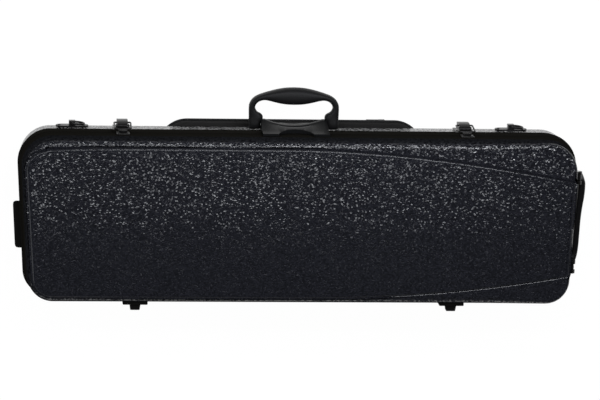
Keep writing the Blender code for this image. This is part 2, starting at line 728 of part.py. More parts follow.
def make_neck_rest():
    """Notched cradle on the channel's floor, and the neck's strap lying open on the bed."""
    middle = (body_start + neck_end) / 2
    low, high = middle - CRADLE_LENGTH / 2, middle + CRADLE_LENGTH / 2
    floor, top = -NECK_FLOOR + GAP, -NECK_FLOOR + GAP + CRADLE_HEIGHT
    side = NECK_HALF_WIDTH - GAP
    cradle = finish("neck_cradle", block((low, -side, floor), (high, side, top)), VELVET_LOOK)
    axis = top + CRADLE_NOTCH_RISE
    notch = rod((low - OVERRUN, 0, axis), (high + OVERRUN, 0, axis), CRADLE_NOTCH_RADIUS, DISC_SIDES)
    combine(cradle, finish("cradle_notch", notch, None), "DIFFERENCE")
    strap_low = (middle - STRAP_WIDTH / 2, side + STRAP_SETBACK, bed_top + GAP)
    strap_high = (middle + STRAP_WIDTH / 2, rear(-STRAP_END_SETBACK), bed_top + GAP + STRAP_THICKNESS)
    finish("neck_strap", block(strap_low, strap_high), NYLON_LOOK)


def make_bow_fittings():
    """Turning clips for the bows' sticks and padded sockets for their tips, under the lid's ceiling."""
    ceiling = LID_DEPTH - SHELL_WALL - LINER_WALL - 2 * GAP
    base_low = ceiling - CLIP_BASE_HEIGHT
    bore_top = base_low + CLIP_PIN_LENGTH / 2
    for sign, word in ((-1, "front"), (1, "rear")):
        place = (CASE_LENGTH / 2 - CLIP_SETBACK, sign * BOW_OFFSET)
        base_rod = rod((*place, base_low), (*place, ceiling), CLIP_BASE_RADIUS, DISC_SIDES)
        clip_base = finish(f"bow_clip_base_{word}", base_rod, GRIP_LOOK)
        bore = rod((*place, base_low - OVERRUN), (*place, bore_top + GAP), CLIP_PIN_RADIUS + PIN_PLAY)
        combine(clip_base, finish(f"clip_bore_{word}", bore, None), "DIFFERENCE")
        clip_high = base_low - GAP
        outline = [(place[0] + x, place[1] + y) for x, y in stadium(CLIP_LENGTH, CLIP_WIDTH)]
        clip = finish(
            f"bow_clip_{word}", extrude_z(outline, clip_high - CLIP_HEIGHT, clip_high), GRIP_LOOK,
            origin=(*place, clip_high),
        )
        spindle = rod((*place, clip_high - GAP), (*place, bore_top), CLIP_PIN_RADIUS)
        combine(clip, finish(f"clip_spindle_{word}", spindle, None), "UNION")
        tip_x = -CASE_LENGTH / 2 + TIP_SETBACK - TIP_LENGTH / 2
        tip_low = Vector((tip_x, sign * BOW_OFFSET - TIP_WIDTH / 2, ceiling - TIP_HEIGHT))
        tip_high = tip_low + Vector((TIP_LENGTH, TIP_WIDTH, TIP_HEIGHT))
        holder = finish(f"bow_tip_holder_{word}", block(tip_low, tip_high), VELVET_LOOK)
        middle = (tip_low + tip_high) / 2
        half = Vector((0, TIP_SOCKET_WIDTH, TIP_SOCKET_HEIGHT)) / 2
        mouth = tip_high.x + OVERRUN
        hollow = block(
            (tip_high.x - TIP_SOCKET_DEPTH, middle.y - half.y, middle.z - half.z),
            (mouth, middle.y + half.y, middle.z + half.z),
        )
        combine(holder, finish(f"tip_socket_{word}", hollow, None), "DIFFERENCE")


# Main handle


def handle_front_outline():
    """Front view of the handle in (x, out): lens-shaped grip between two legs that flare at their barbs."""
    half = HANDLE_HALF_WIDTH
    crest = [(half * across, HANDLE_CREST * up) for across, up in HANDLE_CREST_SHARES]
    rise = HANDLE_GRIP_END - HANDLE_GRIP_UNDERSIDE
    under = [(half * across, HANDLE_GRIP_UNDERSIDE + rise * up) for across, up in HANDLE_UNDER_SHARES]
    side = [
        (half - LEG_TOP_WIDTH, HANDLE_SHOULDER),
        (half - LEG_BARB_WIDTH, HANDLE_BARB),
        (half - LEG_FOOT_WIDTH, HANDLE_BARB - LEG_TOP_WIDTH / 3),
        (half - LEG_FOOT_WIDTH, HANDLE_FOOT),
        (half, HANDLE_FOOT),
        (half, HANDLE_SHOULDER),
        (half * HANDLE_TURN_SHARES[0], HANDLE_CREST * HANDLE_TURN_SHARES[1]),
    ]
    right = under + side + crest
    left = [(-x, out) for x, out in reversed(right[1:-1])]
    return right + left


def handle_side_outline():
    """Side view of the handle in (y, z): round feet about the pivot, widening to the grip."""
    feet = arc((front(HANDLE_PIVOT), HANDLE_LEVEL), LEG_HALF_DEPTH, -90, 90, EYE_STEPS)
    barb, shoulder = front(HANDLE_BARB), front(HANDLE_SHOULDER)
    crown = front(HANDLE_CREST + GAP)
    round_off = front(HANDLE_CREST - GRIP_HALF_DEPTH / 2)
    upper = [
        (barb, HANDLE_LEVEL + LEG_HALF_DEPTH),
        (shoulder, HANDLE_LEVEL + GRIP_HALF_DEPTH),
        (round_off, HANDLE_LEVEL + GRIP_HALF_DEPTH),
        (crown, HANDLE_LEVEL + GRIP_HALF_DEPTH / 2),
    ]
    lower = [(y, 2 * HANDLE_LEVEL - z) for y, z in reversed(upper)]
    return feet + upper + lower


def make_handle():
    """The handle is what its front view and its side view share; its feet turn on two pins."""
    middle = FITTINGS_SHIFT
    pivot = (middle, front(HANDLE_PIVOT), HANDLE_LEVEL)
    outline = [(middle + x, front(out)) for x, out in handle_front_outline()]
    depth = GRIP_HALF_DEPTH + OVERRUN
    handle = finish(
        "handle", extrude_z(outline, HANDLE_LEVEL - depth, HANDLE_LEVEL + depth), GRIP_LOOK, origin=pivot
    )
    reach = HANDLE_HALF_WIDTH + OVERRUN
    side_view = extrude_x(handle_side_outline(), middle - reach, middle + reach)
    combine(handle, finish("handle_side_view", side_view, None), "INTERSECT")
    bore = rod((middle - reach, *pivot[1:]), (middle + reach, *pivot[1:]), HANDLE_PIN_RADIUS + PIN_PLAY)
    combine(handle, finish("handle_bore", bore, None), "DIFFERENCE")


def make_handle_base():
    """Wedge-shaped base on the back's rim, saddled under the grip, with two lobes lying over the lid's rim."""
    middle = FITTINGS_SHIFT
    lip_low = -LIP_HEIGHT - LIP_REACH + RIM_PROUD
    profile = [
        (GAP, -BASE_REAR), (GAP, -BACK_RIM_HEIGHT - GAP), (RIM_PROUD + GAP, -BACK_RIM_HEIGHT - GAP),
        (RIM_PROUD + GAP, lip_low - GAP), (LIP_REACH + GAP, -LIP_HEIGHT - GAP), (LIP_REACH + GAP, GAP),
        (2 * GAP, GAP), (2 * GAP, BASE_LOBE), (BASE_LOBE_WALL, BASE_LOBE), (BASE_RIDGE / 2, BASE_LOBE / 4),
        (BASE_RIDGE, -BACK_RIM_HEIGHT), (BASE_RIDGE, HANDLE_LEVEL - LEG_HALF_DEPTH), (BASE_RIDGE / 2, -BASE_REAR),
    ]
    outline = [(front(out), level) for out, level in profile]
    low, high = middle - BASE_HALF_LENGTH, middle + BASE_HALF_LENGTH
    base = finish("handle_base", extrude_x(outline, low, high), GRIP_LOOK)
    sag = BASE_RIDGE - BASE_SADDLE
    chord = BASE_HALF_LENGTH - LEG_HALF_DEPTH
    radius = (chord**2 + sag**2) / (2 * sag)
    centre = front(BASE_SADDLE + radius)
    saddle = rod(
        (middle, centre, -BASE_REAR - OVERRUN), (middle, centre, BASE_LOBE + OVERRUN), radius, 4 * DISC_SIDES
    )
    combine(base, finish("base_saddle", saddle, None), "DIFFERENCE")
    arch_level = BASE_ARCH_DROP + BASE_ARCH_RADIUS
    arch = rod(
        (middle, front(-OVERRUN), arch_level), (middle, front(BASE_RIDGE + OVERRUN), arch_level), BASE_ARCH_RADIUS,
        DISC_SIDES,
    )
    combine(base, finish("base_arch", arch, None), "DIFFERENCE")
    place = (front(HANDLE_PIVOT), HANDLE_LEVEL)
    hub = HANDLE_BARB - LEG_TOP_WIDTH / 3 - HANDLE_PIVOT - GAP
    barb = HANDLE_HALF_WIDTH - LEG_BARB_WIDTH - 2 * GAP
    for sign, word in ((1, "broad"), (-1, "narrow")):
        near, far = middle + sign * barb, middle + sign * (BASE_HALF_LENGTH + OVERRUN)
        sweep = []
        for k in range(2 * DISC_SIDES):
            turn = math.tau * k / (2 * DISC_SIDES)
            across, up = math.cos(turn), math.sin(turn)
            section = ((near, hub), (far, hub), (far, BARB_SWEEP), (near, BARB_SWEEP))
            sweep.append([(x, place[0] + r * across, place[1] + r * up) for x, r in section])
        combine(base, finish(f"barb_sweep_{word}", skin(sweep, closed=True), None), "DIFFERENCE")
        inner = middle + sign * (BASE_HALF_LENGTH - HANDLE_PIN_DEPTH)
        outer = middle + sign * (HANDLE_HALF_WIDTH - HANDLE_PIN_INSET)
        finish(f"handle_pin_{word}", rod((inner, *place), (outer, *place), HANDLE_PIN_RADIUS), STEEL_LOOK)
        bore = rod((inner - sign * GAP, *place), (outer, *place), HANDLE_PIN_RADIUS + PIN_PLAY)
        combine(base, finish(f"handle_pin_bore_{word}", bore, None), "DIFFERENCE")
    return base


# Latches


def make_latch(word, middle):
    """Draw latch: a plate with ears on the back's rim, a lever between them and a wire bail up to the keeper."""
    pivot = (front(LATCH_PIVOT_OUT), LATCH_PIVOT_LEVEL)
    seat = RIM_PROUD + GAP
    half = LATCH_WIDTH / 2
    plate = block(
        (middle - half, front(seat + LATCH_PLATE), LATCH_PLATE_BOTTOM),
        (middle + half, front(seat), LATCH_PLATE_TOP),
    )
    base = finish(f"latch_base_{word}", plate, BLACK_METAL_LOOK)
    foot_low, foot_high = LATCH_PIVOT_LEVEL - EAR_RADIUS, LATCH_PIVOT_LEVEL + EAR_RADIUS
    ear_outline = [(front(seat + GAP), foot_low), (front(seat + GAP), foot_high)]
    ear_outline += arc(pivot, EAR_RADIUS, 90, 270, EYE_STEPS)
    inner = LEVER_WIDTH / 2 + GAP
    for sign in (-1, 1):
        low, high = sorted((middle + sign * inner, middle + sign * (inner + EAR_THICKNESS)))
        ear = finish(f"latch_ear_{word}_{sign}", extrude_x(ear_outline, low, high), None)
        combine(base, ear, "UNION")
    span = inner + EAR_THICKNESS
    bore = rod(
        (middle - half, *pivot), (middle + half, *pivot), LATCH_PIN_RADIUS + PIN_PLAY
    )
    bore_cutter = finish(f"latch_bore_{word}", bore, None)
    combine(base, bore_cutter, "DIFFERENCE")
    pin = rod((middle - span, *pivot), (middle + span, *pivot), LATCH_PIN_RADIUS)
    finish(f"latch_pin_{word}", pin, STEEL_LOOK)

    outline = arc((LATCH_PIVOT_OUT, LATCH_PIVOT_LEVEL), LEVER_EYE_RADIUS, 40, 205, EYE_STEPS)
    inner_side = LATCH_PIVOT_OUT - LEVER_EYE_RADIUS
    outline += [
        (inner_side + 2 * GAP, BAIL_LEVEL), (inner_side + LATCH_PLATE, -LEVER_TAIL + HEAD_RADIUS * 3),
        (BAIL_OUT - LATCH_PLATE, -LEVER_TAIL), (BAIL_OUT + LATCH_PLATE, -LEVER_TAIL),
        (BAIL_OUT + 2 * LATCH_PLATE, (BAIL_LEVEL - LEVER_TAIL) / 2), (BAIL_OUT + 2 * LATCH_PLATE, BAIL_LEVEL),
        (BAIL_OUT + LATCH_PLATE, LATCH_PIVOT_LEVEL - BAIL_WIRE_RADIUS),
    ]
    half_lever = LEVER_WIDTH / 2
    lever_mesh = extrude_x([(front(o), z) for o, z in outline], middle - half_lever, middle + half_lever)
    lever = finish(f"latch_lever_{word}", lever_mesh, BLACK_METAL_LOOK, origin=(middle, *pivot))
    combine(lever, bore_cutter, "DIFFERENCE")
    bail_axis = (front(BAIL_OUT), BAIL_LEVEL)
    stubs = bmesh.new()
    for sign in (-1, 1):
        start, end = middle + sign * BAIL_HOLE_END, middle + sign * (half_lever + OVERRUN)
        rod((start, *bail_axis), (end, *bail_axis), BAIL_WIRE_RADIUS + 2 * PIN_PLAY, PIN_SIDES, stubs)
    combine(lever, finish(f"bail_holes_{word}", stubs, None), "DIFFERENCE")

    lean = math.atan2(BAIL_OUT - BAIL_BAR_OUT, BAIL_BAR_LEVEL - BAIL_LEVEL)
    height = math.hypot(BAIL_OUT - BAIL_BAR_OUT, BAIL_BAR_LEVEL - BAIL_LEVEL)
    wide, bend = BAIL_HALF_WIDTH, BAIL_BEND
    right = [(BAIL_STUB_END, 0)]
    right += arc((wide - bend / 2, bend / 2), bend / 2, -90, 0, 3)
    right += arc((wide - bend, height - bend), bend, 0, 90, 4)
    path = right + [(-x, up) for x, up in reversed(right)]
    points = [
        (middle + x, front(BAIL_OUT - up * math.sin(lean)), BAIL_LEVEL + up * math.cos(lean)) for x, up in path
    ]
    wire(f"latch_bail_{word}", points, BAIL_WIRE_RADIUS, BLACK_METAL_LOOK, False, (middle, *bail_axis))

    plate_half = KEEPER_WIDTH / 2
    keeper_plate = block(
        (middle - plate_half, front(GAP + LATCH_PLATE), KEEPER_BOTTOM),
        (middle + plate_half, front(GAP), KEEPER_TOP),
    )
    keeper = finish(f"keeper_{word}", keeper_plate, BLACK_METAL_LOOK)
    hook = [
        (LATCH_PLATE / 2, HOOK_LEVEL), (HOOK_REACH, HOOK_LEVEL), (HOOK_REACH, HOOK_TOP),
        (HOOK_REACH - HOOK_LIP, HOOK_TOP), (HOOK_REACH - HOOK_LIP, HOOK_LEVEL + HOOK_ARM),
        (LATCH_PLATE / 2, HOOK_LEVEL + HOOK_ARM),
    ]
    hook_mesh = extrude_x([(front(o), z) for o, z in hook], middle - HOOK_WIDTH / 2, middle + HOOK_WIDTH / 2)
    combine(keeper, finish(f"keeper_hook_{word}", hook_mesh, None), "UNION")
    return base, keeper


# Strap plates and rings


def make_strap_plate(word, middle):
    """Oval plate on the back's side with a boss, and a D-ring folded over towards the narrow end."""
    outline = [(middle + x, STRAP_PLATE_LEVEL + z) for x, z in stadium(STRAP_PLATE_LENGTH, STRAP_PLATE_HEIGHT)]
    plate_mesh = extrude_y(outline, front(GAP + STRAP_PLATE_THICKNESS), front(GAP))
    plate = finish(f"strap_plate_{word}", plate_mesh, BLACK_METAL_LOOK)
    boss = block(
        (middle - BOSS_LENGTH / 2, front(BOSS_REACH), STRAP_PLATE_LEVEL - BOSS_HEIGHT / 2),
        (middle + BOSS_LENGTH / 2, front(STRAP_PLATE_THICKNESS / 2), STRAP_PLATE_LEVEL + BOSS_HEIGHT / 2),
    )
    combine(plate, finish(f"ring_boss_{word}", boss, None), "UNION")
    axis = (middle, front(RING_AXIS))
    bore = rod(
        (*axis, STRAP_PLATE_LEVEL - BOSS_HEIGHT), (*axis, STRAP_PLATE_LEVEL + BOSS_HEIGHT),
        RING_WIRE_RADIUS + 2 * PIN_PLAY,
    )
    combine(plate, finish(f"ring_bore_{word}", bore, None), "DIFFERENCE")
    rest = RING_AXIS - GAP - STRAP_PLATE_THICKNESS - RING_WIRE_RADIUS - GAP
    tilt = math.asin(rest / RING_REACH)
    half = RING_BAR / 2
    path = [(0, -half / 2), (0, half / 2)]
    path += arc((RING_WIRE_RADIUS * 1.5, half - RING_WIRE_RADIUS * 1.5), RING_WIRE_RADIUS * 1.5, 180, 90, 3)
    path += arc((RING_REACH - half, 0), half, 80, -80, 2 * EYE_STEPS)
    path += arc((RING_WIRE_RADIUS * 1.5, -half + RING_WIRE_RADIUS * 1.5), RING_WIRE_RADIUS * 1.5, 270, 180, 3)
    points = [
        (middle - along * math.cos(tilt), front(RING_AXIS - along * math.sin(tilt)), STRAP_PLATE_LEVEL + up)
        for along, up in path
    ]
    wire(f"d_ring_{word}", points, RING_WIRE_RADIUS, BLACK_METAL_LOOK, True, (*axis, STRAP_PLATE_LEVEL))
    return plate


# Feet


def make_side_foot(name, middle, level):
    """T-shaped rubber foot on the hinge side."""
    flange = block(
        (middle - FOOT_FLANGE_LENGTH / 2, rear(GAP), level - FOOT_FLANGE_WIDTH / 2),
        (middle + FOOT_FLANGE_LENGTH / 2, rear(GAP + FOOT_FLANGE_THICKNESS), level + FOOT_FLANGE_WIDTH / 2),
    )
    foot = finish(name, flange, RUBBER_LOOK)
    loops = []
    for length, width, out in (
        (FOOT_ROOT_LENGTH, FOOT_ROOT_WIDTH, FOOT_FLANGE_THICKNESS / 2),
        (FOOT_TIP_LENGTH, FOOT_TIP_WIDTH, FOOT_HEIGHT),
    ):
        corners = ((1, 1), (-1, 1), (-1, -1), (1, -1))
        loops.append([(middle + a * length / 2, rear(out), level + b * width / 2) for a, b in corners])
    combine(foot, finish(name + "_stub", skin(loops), None), "UNION")


def make_end_foot():
    """Long rubber foot on the broad end, with a low cap at each end of it."""
    half = END_FOOT_LENGTH / 2
    out = GAP + END_FOOT_HEIGHT
    low_out = out - END_FOOT_STEP
    outline = [
        (GAP, -half), (low_out, -half), (low_out, -half + END_FOOT_CAP), (out, -half + END_FOOT_CAP),
        (out, half - END_FOOT_CAP), (low_out, half - END_FOOT_CAP), (low_out, half), (GAP, half),
    ]
    low, high = END_FOOT_LEVEL - END_FOOT_WIDTH / 2, END_FOOT_LEVEL + END_FOOT_WIDTH / 2
    finish("end_foot", extrude_z(outline, low, high), RUBBER_LOOK, broad_end)


# End handle


def make_end_handle():
    """Moulded tug handle that hangs from two brackets on the narrow end."""
    arm_out = END_ARM_PLACE + END_ARM_WIDTH / 2
    arm_in = END_ARM_PLACE - END_ARM_WIDTH / 2
    top = END_PIVOT_LEVEL + END_EYE_RADIUS + GAP
    grip_top = END_PIVOT_LEVEL - END_GRIP_DROP + END_GRIP_HEIGHT / 2
    grip_low = grip_top - END_GRIP_HEIGHT
    bend = END_GRIP_HEIGHT / 2
    outline = [(arm_in, top), (arm_in, grip_top + bend / 2), (arm_in - bend / 2, grip_top)]
    outline += [(-s, z) for s, z in reversed(outline)]
    outline += [(-arm_out, top), (-arm_out, grip_low + bend)]
    outline += [(-s, z) for s, z in arc((arm_out - bend, grip_low + bend), bend, -30, -90, 2)]
    outline += [(s, z) for s, z in arc((arm_out - bend, grip_low + bend), bend, -90, -30, 2)]
    outline += [(arm_out, grip_low + bend), (arm_out, top)]
    view = skin([[(out, s, z) for s, z in outline] for out in (0, END_PIVOT_OUT + END_EYE_RADIUS + OVERRUN)])
    pivot = (END_PIVOT_OUT, 0, END_PIVOT_LEVEL)
    handle = finish("end_handle", view, GRIP_LOOK, narrow_end, origin=pivot)
    half = END_GRIP_DEPTH / 2
    profile = arc((END_PIVOT_OUT, END_PIVOT_LEVEL), END_EYE_RADIUS, -40, 220, 2 * EYE_STEPS)
    profile += [
        (END_PIVOT_OUT - half, END_PIVOT_LEVEL - END_EYE_RADIUS), (END_PIVOT_OUT - half, grip_low - OVERRUN),
        (END_PIVOT_OUT + half, grip_low - OVERRUN), (END_PIVOT_OUT + half, END_PIVOT_LEVEL - END_EYE_RADIUS),
    ]
    reach = arm_out + OVERRUN
    side_view = skin([[(out, s, z) for out, z in profile] for s in (-reach, reach)])
    combine(handle, finish("end_handle_side_view", side_view, None, narrow_end), "INTERSECT")
    bore_reach = arm_out + BRACKET_EAR + OVERRUN
    bore = rod((END_PIVOT_OUT, -bore_reach, END_PIVOT_LEVEL), (END_PIVOT_OUT, bore_reach, END_PIVOT_LEVEL),
               END_PIN_RADIUS + PIN_PLAY)
    bore_cutter = finish("end_handle_bore", bore, None, narrow_end)
    combine(handle, bore_cutter, "DIFFERENCE")
    brackets = []
    for sign, word in ((-1, "rear"), (1, "front")):
        centre = sign * END_ARM_PLACE
        plate = block(
            (GAP, centre - BRACKET_LENGTH / 2, END_PIVOT_LEVEL - BRACKET_WIDTH / 2),
            (GAP + BRACKET_PLATE, centre + BRACKET_LENGTH / 2, END_PIVOT_LEVEL + BRACKET_WIDTH / 2),
        )
        bracket = finish(f"end_bracket_{word}", plate, BLACK_METAL_LOOK, narrow_end)
        ear_outline = [
            (GAP + BRACKET_PLATE / 2, END_PIVOT_LEVEL + BRACKET_WIDTH / 3),
            (GAP + BRACKET_PLATE / 2, END_PIVOT_LEVEL - BRACKET_WIDTH / 3),
        ] + arc((END_PIVOT_OUT, END_PIVOT_LEVEL), END_EYE_RADIUS - GAP, -80, 80, EYE_STEPS)
        for side in (-1, 1):
            inner = centre + side * (END_ARM_WIDTH / 2 + GAP)
            ear = skin([[(out, s, z) for out, z in ear_outline] for s in (inner, inner + side * BRACKET_EAR)])
            combine(bracket, finish(f"bracket_ear_{word}_{side}", ear, None, narrow_end), "UNION")
        combine(bracket, bore_cutter, "DIFFERENCE")
        span = END_ARM_WIDTH / 2 + GAP + BRACKET_EAR
        pin_ends = [(END_PIVOT_OUT, centre + reach_along, END_PIVOT_LEVEL) for reach_along in (-span, span)]
        finish(f"end_handle_pin_{word}", rod(*pin_ends, END_PIN_RADIUS), STEEL_LOOK, narrow_end)
        brackets.append((word, bracket))
    return brackets


# Hinges


def make_hinge(word, middle):
    """Butt hinge outside the seam: two knuckles on the back's leaf, one between them on the lid's."""
    axis = (rear(HINGE_AXIS_OUT), HINGE_AXIS_LEVEL)
    half, knuckle = HINGE_LENGTH / 2, HINGE_KNUCKLE / 2
    seat = RIM_PROUD + GAP
    lip_low = -LIP_HEIGHT - LIP_REACH + RIM_PROUD
    back_plate = block(
        (middle - half, rear(seat), -HINGE_PLATE_REACH), (middle + half, rear(seat + HINGE_PLATE), lip_low - GAP)
    )
    back_leaf = finish(f"hinge_back_{word}", back_plate, BLACK_METAL_LOOK)
    clear = LIP_REACH + GAP
    root = HINGE_PLATE / 2
    back_web = [
        (seat + root, lip_low - HINGE_RADIUS), (seat + root, lip_low), (clear, -LIP_HEIGHT - GAP),
        (clear, -HINGE_RADIUS / 2), (HINGE_AXIS_OUT, HINGE_AXIS_LEVEL - GAP),
        (HINGE_AXIS_OUT + HINGE_RADIUS / 2, HINGE_AXIS_LEVEL - HINGE_RADIUS / 2),
        (seat + HINGE_PLATE - GAP, lip_low - HINGE_RADIUS),
    ]
    for sign in (-1, 1):
        low, high = sorted((middle + sign * (knuckle + GAP), middle + sign * half))
        web_mesh = extrude_x([(rear(o), z) for o, z in back_web], low + GAP, high - GAP)
        web = finish(f"back_web_{word}_{sign}", web_mesh, None)
        combine(back_leaf, web, "UNION")
        barrel = finish(f"back_knuckle_{word}_{sign}", rod((low, *axis), (high, *axis), HINGE_RADIUS), None)
        combine(back_leaf, barrel, "UNION")
    lid_plate = block(
        (middle - half, rear(GAP), HINGE_RADIUS + HINGE_PLATE),
        (middle + half, rear(GAP + HINGE_PLATE), HINGE_PLATE_REACH),
    )
    lid_leaf = finish(f"hinge_lid_{word}", lid_plate, BLACK_METAL_LOOK)
    lid_web = [
        (GAP + root, HINGE_RADIUS + GAP), (GAP + root, 3 * HINGE_RADIUS),
        (HINGE_AXIS_OUT + HINGE_RADIUS / 2, HINGE_RADIUS - 2 * GAP), (HINGE_AXIS_OUT, 2 * GAP),
        (HINGE_AXIS_OUT - HINGE_RADIUS / 2, 3 * GAP),
    ]
    low, high = middle - knuckle, middle + knuckle
    web_mesh = extrude_x([(rear(o), z) for o, z in lid_web], low + GAP, high - GAP)
    web = finish(f"lid_web_{word}", web_mesh, None)
    combine(lid_leaf, web, "UNION")
    combine(lid_leaf, finish(f"lid_knuckle_{word}", rod((low, *axis), (high, *axis), HINGE_RADIUS), None), "UNION")
    bore = rod((middle - half - OVERRUN, *axis), (middle + half + OVERRUN, *axis), HINGE_PIN_RADIUS + PIN_PLAY)
    bore_cutter = finish(f"hinge_bore_{word}", bore, None)
    combine(back_leaf, bore_cutter, "DIFFERENCE")
    combine(lid_leaf, bore_cutter, "DIFFERENCE")
    finish(f"hinge_pin_{word}", rod((middle - half, *axis), (middle + half, *axis), HINGE_PIN_RADIUS), STEEL_LOOK)
    return back_leaf, lid_leaf


# Music pocket


def pocket_plan(grow):
    """Plan of the pocket behind the back."""
    half_length, half_width = CASE_LENGTH / 2 - POCKET_SETBACK, CASE_WIDTH / 2 + POCKET_OVERHANG
    corners = rectangle(
        FITTINGS_SHIFT - half_length, FITTINGS_SHIFT + half_length, -half_width, half_width, POCKET_RADIUS
    )
    return rounded_plan(corners, grow)


def make_pocket():
    """Zipped fabric pocket: its closed outer shape with soft edges, the piping round it, and its zip."""
    high = -BACK_DEPTH - GAP
    low = high - POCKET_DEPTH
    levels = [
        (-2 * POCKET_BULGE, high), (-POCKET_BULGE, high - POCKET_DEPTH / 6), (0, high - POCKET_DEPTH / 3),
        (0, low + POCKET_DEPTH / 3), (-POCKET_BULGE / 2, low + POCKET_DEPTH / 8), (-POCKET_BULGE, low),
    ]
    loops = [[(x, y, level) for x, y in pocket_plan(grow)] for grow, level in levels]
    finish("music_pocket", skin(loops), NYLON_LOOK)
    piping_level = high - POCKET_DEPTH / 2 + POCKET_DEPTH / 6
    out = PIPING_RADIUS + GAP
    path = [(x, y, piping_level) for x, y in pocket_plan(out)]
    wire("pocket_piping", path, PIPING_RADIUS, NYLON_LOOK, True, (0, 0, 0), 1)
    face = front(POCKET_OVERHANG + GAP)
    zip_high = piping_level - PIPING_RADIUS - GAP
    tape = block(
        (FITTINGS_SHIFT - ZIP_LENGTH / 2, face - ZIP_THICKNESS, zip_high - ZIP_WIDTH),
        (FITTINGS_SHIFT + ZIP_LENGTH / 2, face, zip_high),
    )
    finish("pocket_zip", tape, NYLON_LOOK)
    slider_face = face - ZIP_THICKNESS - GAP
    start = FITTINGS_SHIFT - ZIP_LENGTH / 2
    middle = zip_high - ZIP_WIDTH / 2
    slider = finish(
        "zip_slider",
        block(
            (start, slider_face - SLIDER_THICKNESS, middle - SLIDER_WIDTH / 2),
            (start + SLIDER_LENGTH, slider_face, middle + SLIDER_WIDTH / 2),
        ),
        BLACK_METAL_LOOK,
    )
    pull = block(
        (start + SLIDER_LENGTH / 2, slider_face - SLIDER_THICKNESS, middle - PULL_WIDTH / 2),
        (start + SLIDER_LENGTH / 2 + PULL_LENGTH, slider_face - SLIDER_THICKNESS / 2, middle + PULL_WIDTH / 2),
    )
    combine(slider, finish("zip_pull", pull, None), "UNION")


# Assembly


def stand_on_ground():
    """Lift the case so that its lowest face is at Z = 0, with the middle of its footprint at the origin."""
    bpy.context.view_layer.update()
    depsgraph = bpy.context.evaluated_depsgraph_get()
    corners = []
    for part in parts.objects:
        if part.type == "MESH":
            shape = part.evaluated_get(depsgraph)
            corners += [shape.matrix_world @ vertex.co for vertex in shape.data.vertices]
    lows = [min(corner[axis] for corner in corners) for axis in range(3)]
    highs = [max(corner[axis] for corner in corners) for axis in range(3)]
    case.location = (-(lows[0] + highs[0]) / 2, -(lows[1] + highs[1]) / 2, -lows[2])
    bpy.context.view_layer.update()


def build():
    """Make every piece, then drill the shells and plates for the rivets and screws that hold them."""
    make_lid_shell()
    back_shell = make_back_shell()
    lid_rim, back_rim = make_rims()
    make_lid_liner()
    make_bed()
    make_covers()
    make_pads()
    make_neck_rest()
    make_bow_fittings()
    make_handle()
    handle_base = make_handle_base()
    make_end_foot()
    make_pocket()

    for sign, word in ((1, "broad"), (-1, "narrow")):
        place = (FITTINGS_SHIFT + sign * SCREW_PLACE, front(-SHELL_WALL - GAP), SCREW_LEVEL)
        screw = bmesh.new()
        rivet(screw, place, (0, 1, 0), SCREW_LENGTH)
        finish(f"handle_screw_{word}", screw, STEEL_LOOK)
        drill = rod(
            place, (place[0], place[1] - SCREW_LENGTH - GAP, place[2]), SHANK_RADIUS + HOLE_PLAY, RIVET_SIDES
        )
        screw_hole = finish(f"handle_screw_hole_{word}", drill, None)
        combine(handle_base, screw_hole, "DIFFERENCE")
        combine(back_shell, screw_hole, "DIFFERENCE")

    for sign, word in ((1, "broad"), (-1, "narrow")):
        middle = set_back(sign, LATCH_SETBACK)
        base, keeper = make_latch(word, middle)
        across = LATCH_WIDTH / 2 - HEAD_RADIUS - GAP
        face, level = front(RIM_PROUD + GAP + LATCH_PLATE), -BACK_RIM_HEIGHT + HEAD_RADIUS
        places = [((middle + side * across, face, level), (0, -1, 0)) for side in (-1, 1)]
        fasten(f"latch_base_{word}", base, places, [back_rim])
        across = KEEPER_WIDTH / 2 - HEAD_RADIUS - GAP
        face, level = front(GAP + LATCH_PLATE), KEEPER_TOP - 2 * HEAD_RADIUS
        places = [((middle + side * across, face, level), (0, -1, 0)) for side in (-1, 1)]
        fasten(f"keeper_{word}", keeper, places, [lid_rim])

        middle = set_back(sign, STRAP_PLATE_SETBACK)
        plate = make_strap_plate(word, middle)
        place = (middle + STRAP_RIVET_PLACE, front(GAP + STRAP_PLATE_THICKNESS), STRAP_PLATE_LEVEL)
        fasten(f"strap_plate_{word}", plate, [(place, (0, -1, 0))], [back_shell])

        middle = set_back(sign, FOOT_SETBACK)
        make_side_foot(f"lid_foot_{word}", middle, LID_FOOT_LEVEL)
        make_side_foot(f"back_foot_{word}", middle, BACK_FOOT_LEVEL)

        middle = set_back(sign, HINGE_SETBACK)
        back_leaf, lid_leaf = make_hinge(word, middle)
        back_face, lid_face = rear(RIM_PROUD + GAP + HINGE_PLATE), rear(GAP + HINGE_PLATE)
        spots = [middle + side * HINGE_RIVET_PLACE for side in (-1, 1)]
        places = [((x, back_face, -HINGE_RIVET_LEVEL), (0, 1, 0)) for x in spots]
        fasten(f"hinge_back_{word}", back_leaf, places, [back_rim])
        places = [((x, lid_face, HINGE_RIVET_LEVEL), (0, 1, 0)) for x in spots]
        fasten(f"hinge_lid_{word}", lid_leaf, places, [lid_rim])

    for sign, (word, bracket) in zip((-1, 1), make_end_handle()):
        places = []
        for side in (-1, 1):
            level = END_PIVOT_LEVEL + side * (BRACKET_WIDTH / 2 - HEAD_RADIUS)
            places.append(((GAP + BRACKET_PLATE, sign * END_ARM_PLACE, level), (1, 0, 0)))
        fasten(f"end_bracket_{word}", bracket, places, [back_shell], narrow_end)
    stand_on_ground()


build()
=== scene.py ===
# %% [markdown]
# # A moulded violin case
# This notebook dresses a fixed frame, the case's solids, with the surfaces and finishes that the eye sees.
# The case lies on its back: +X is the violin's broad end, -Y the handle side and +Z the lid.

# %% Load the frame
import json
import math

import bmesh
import bpy
import numpy as np
from mathutils import Matrix, Vector

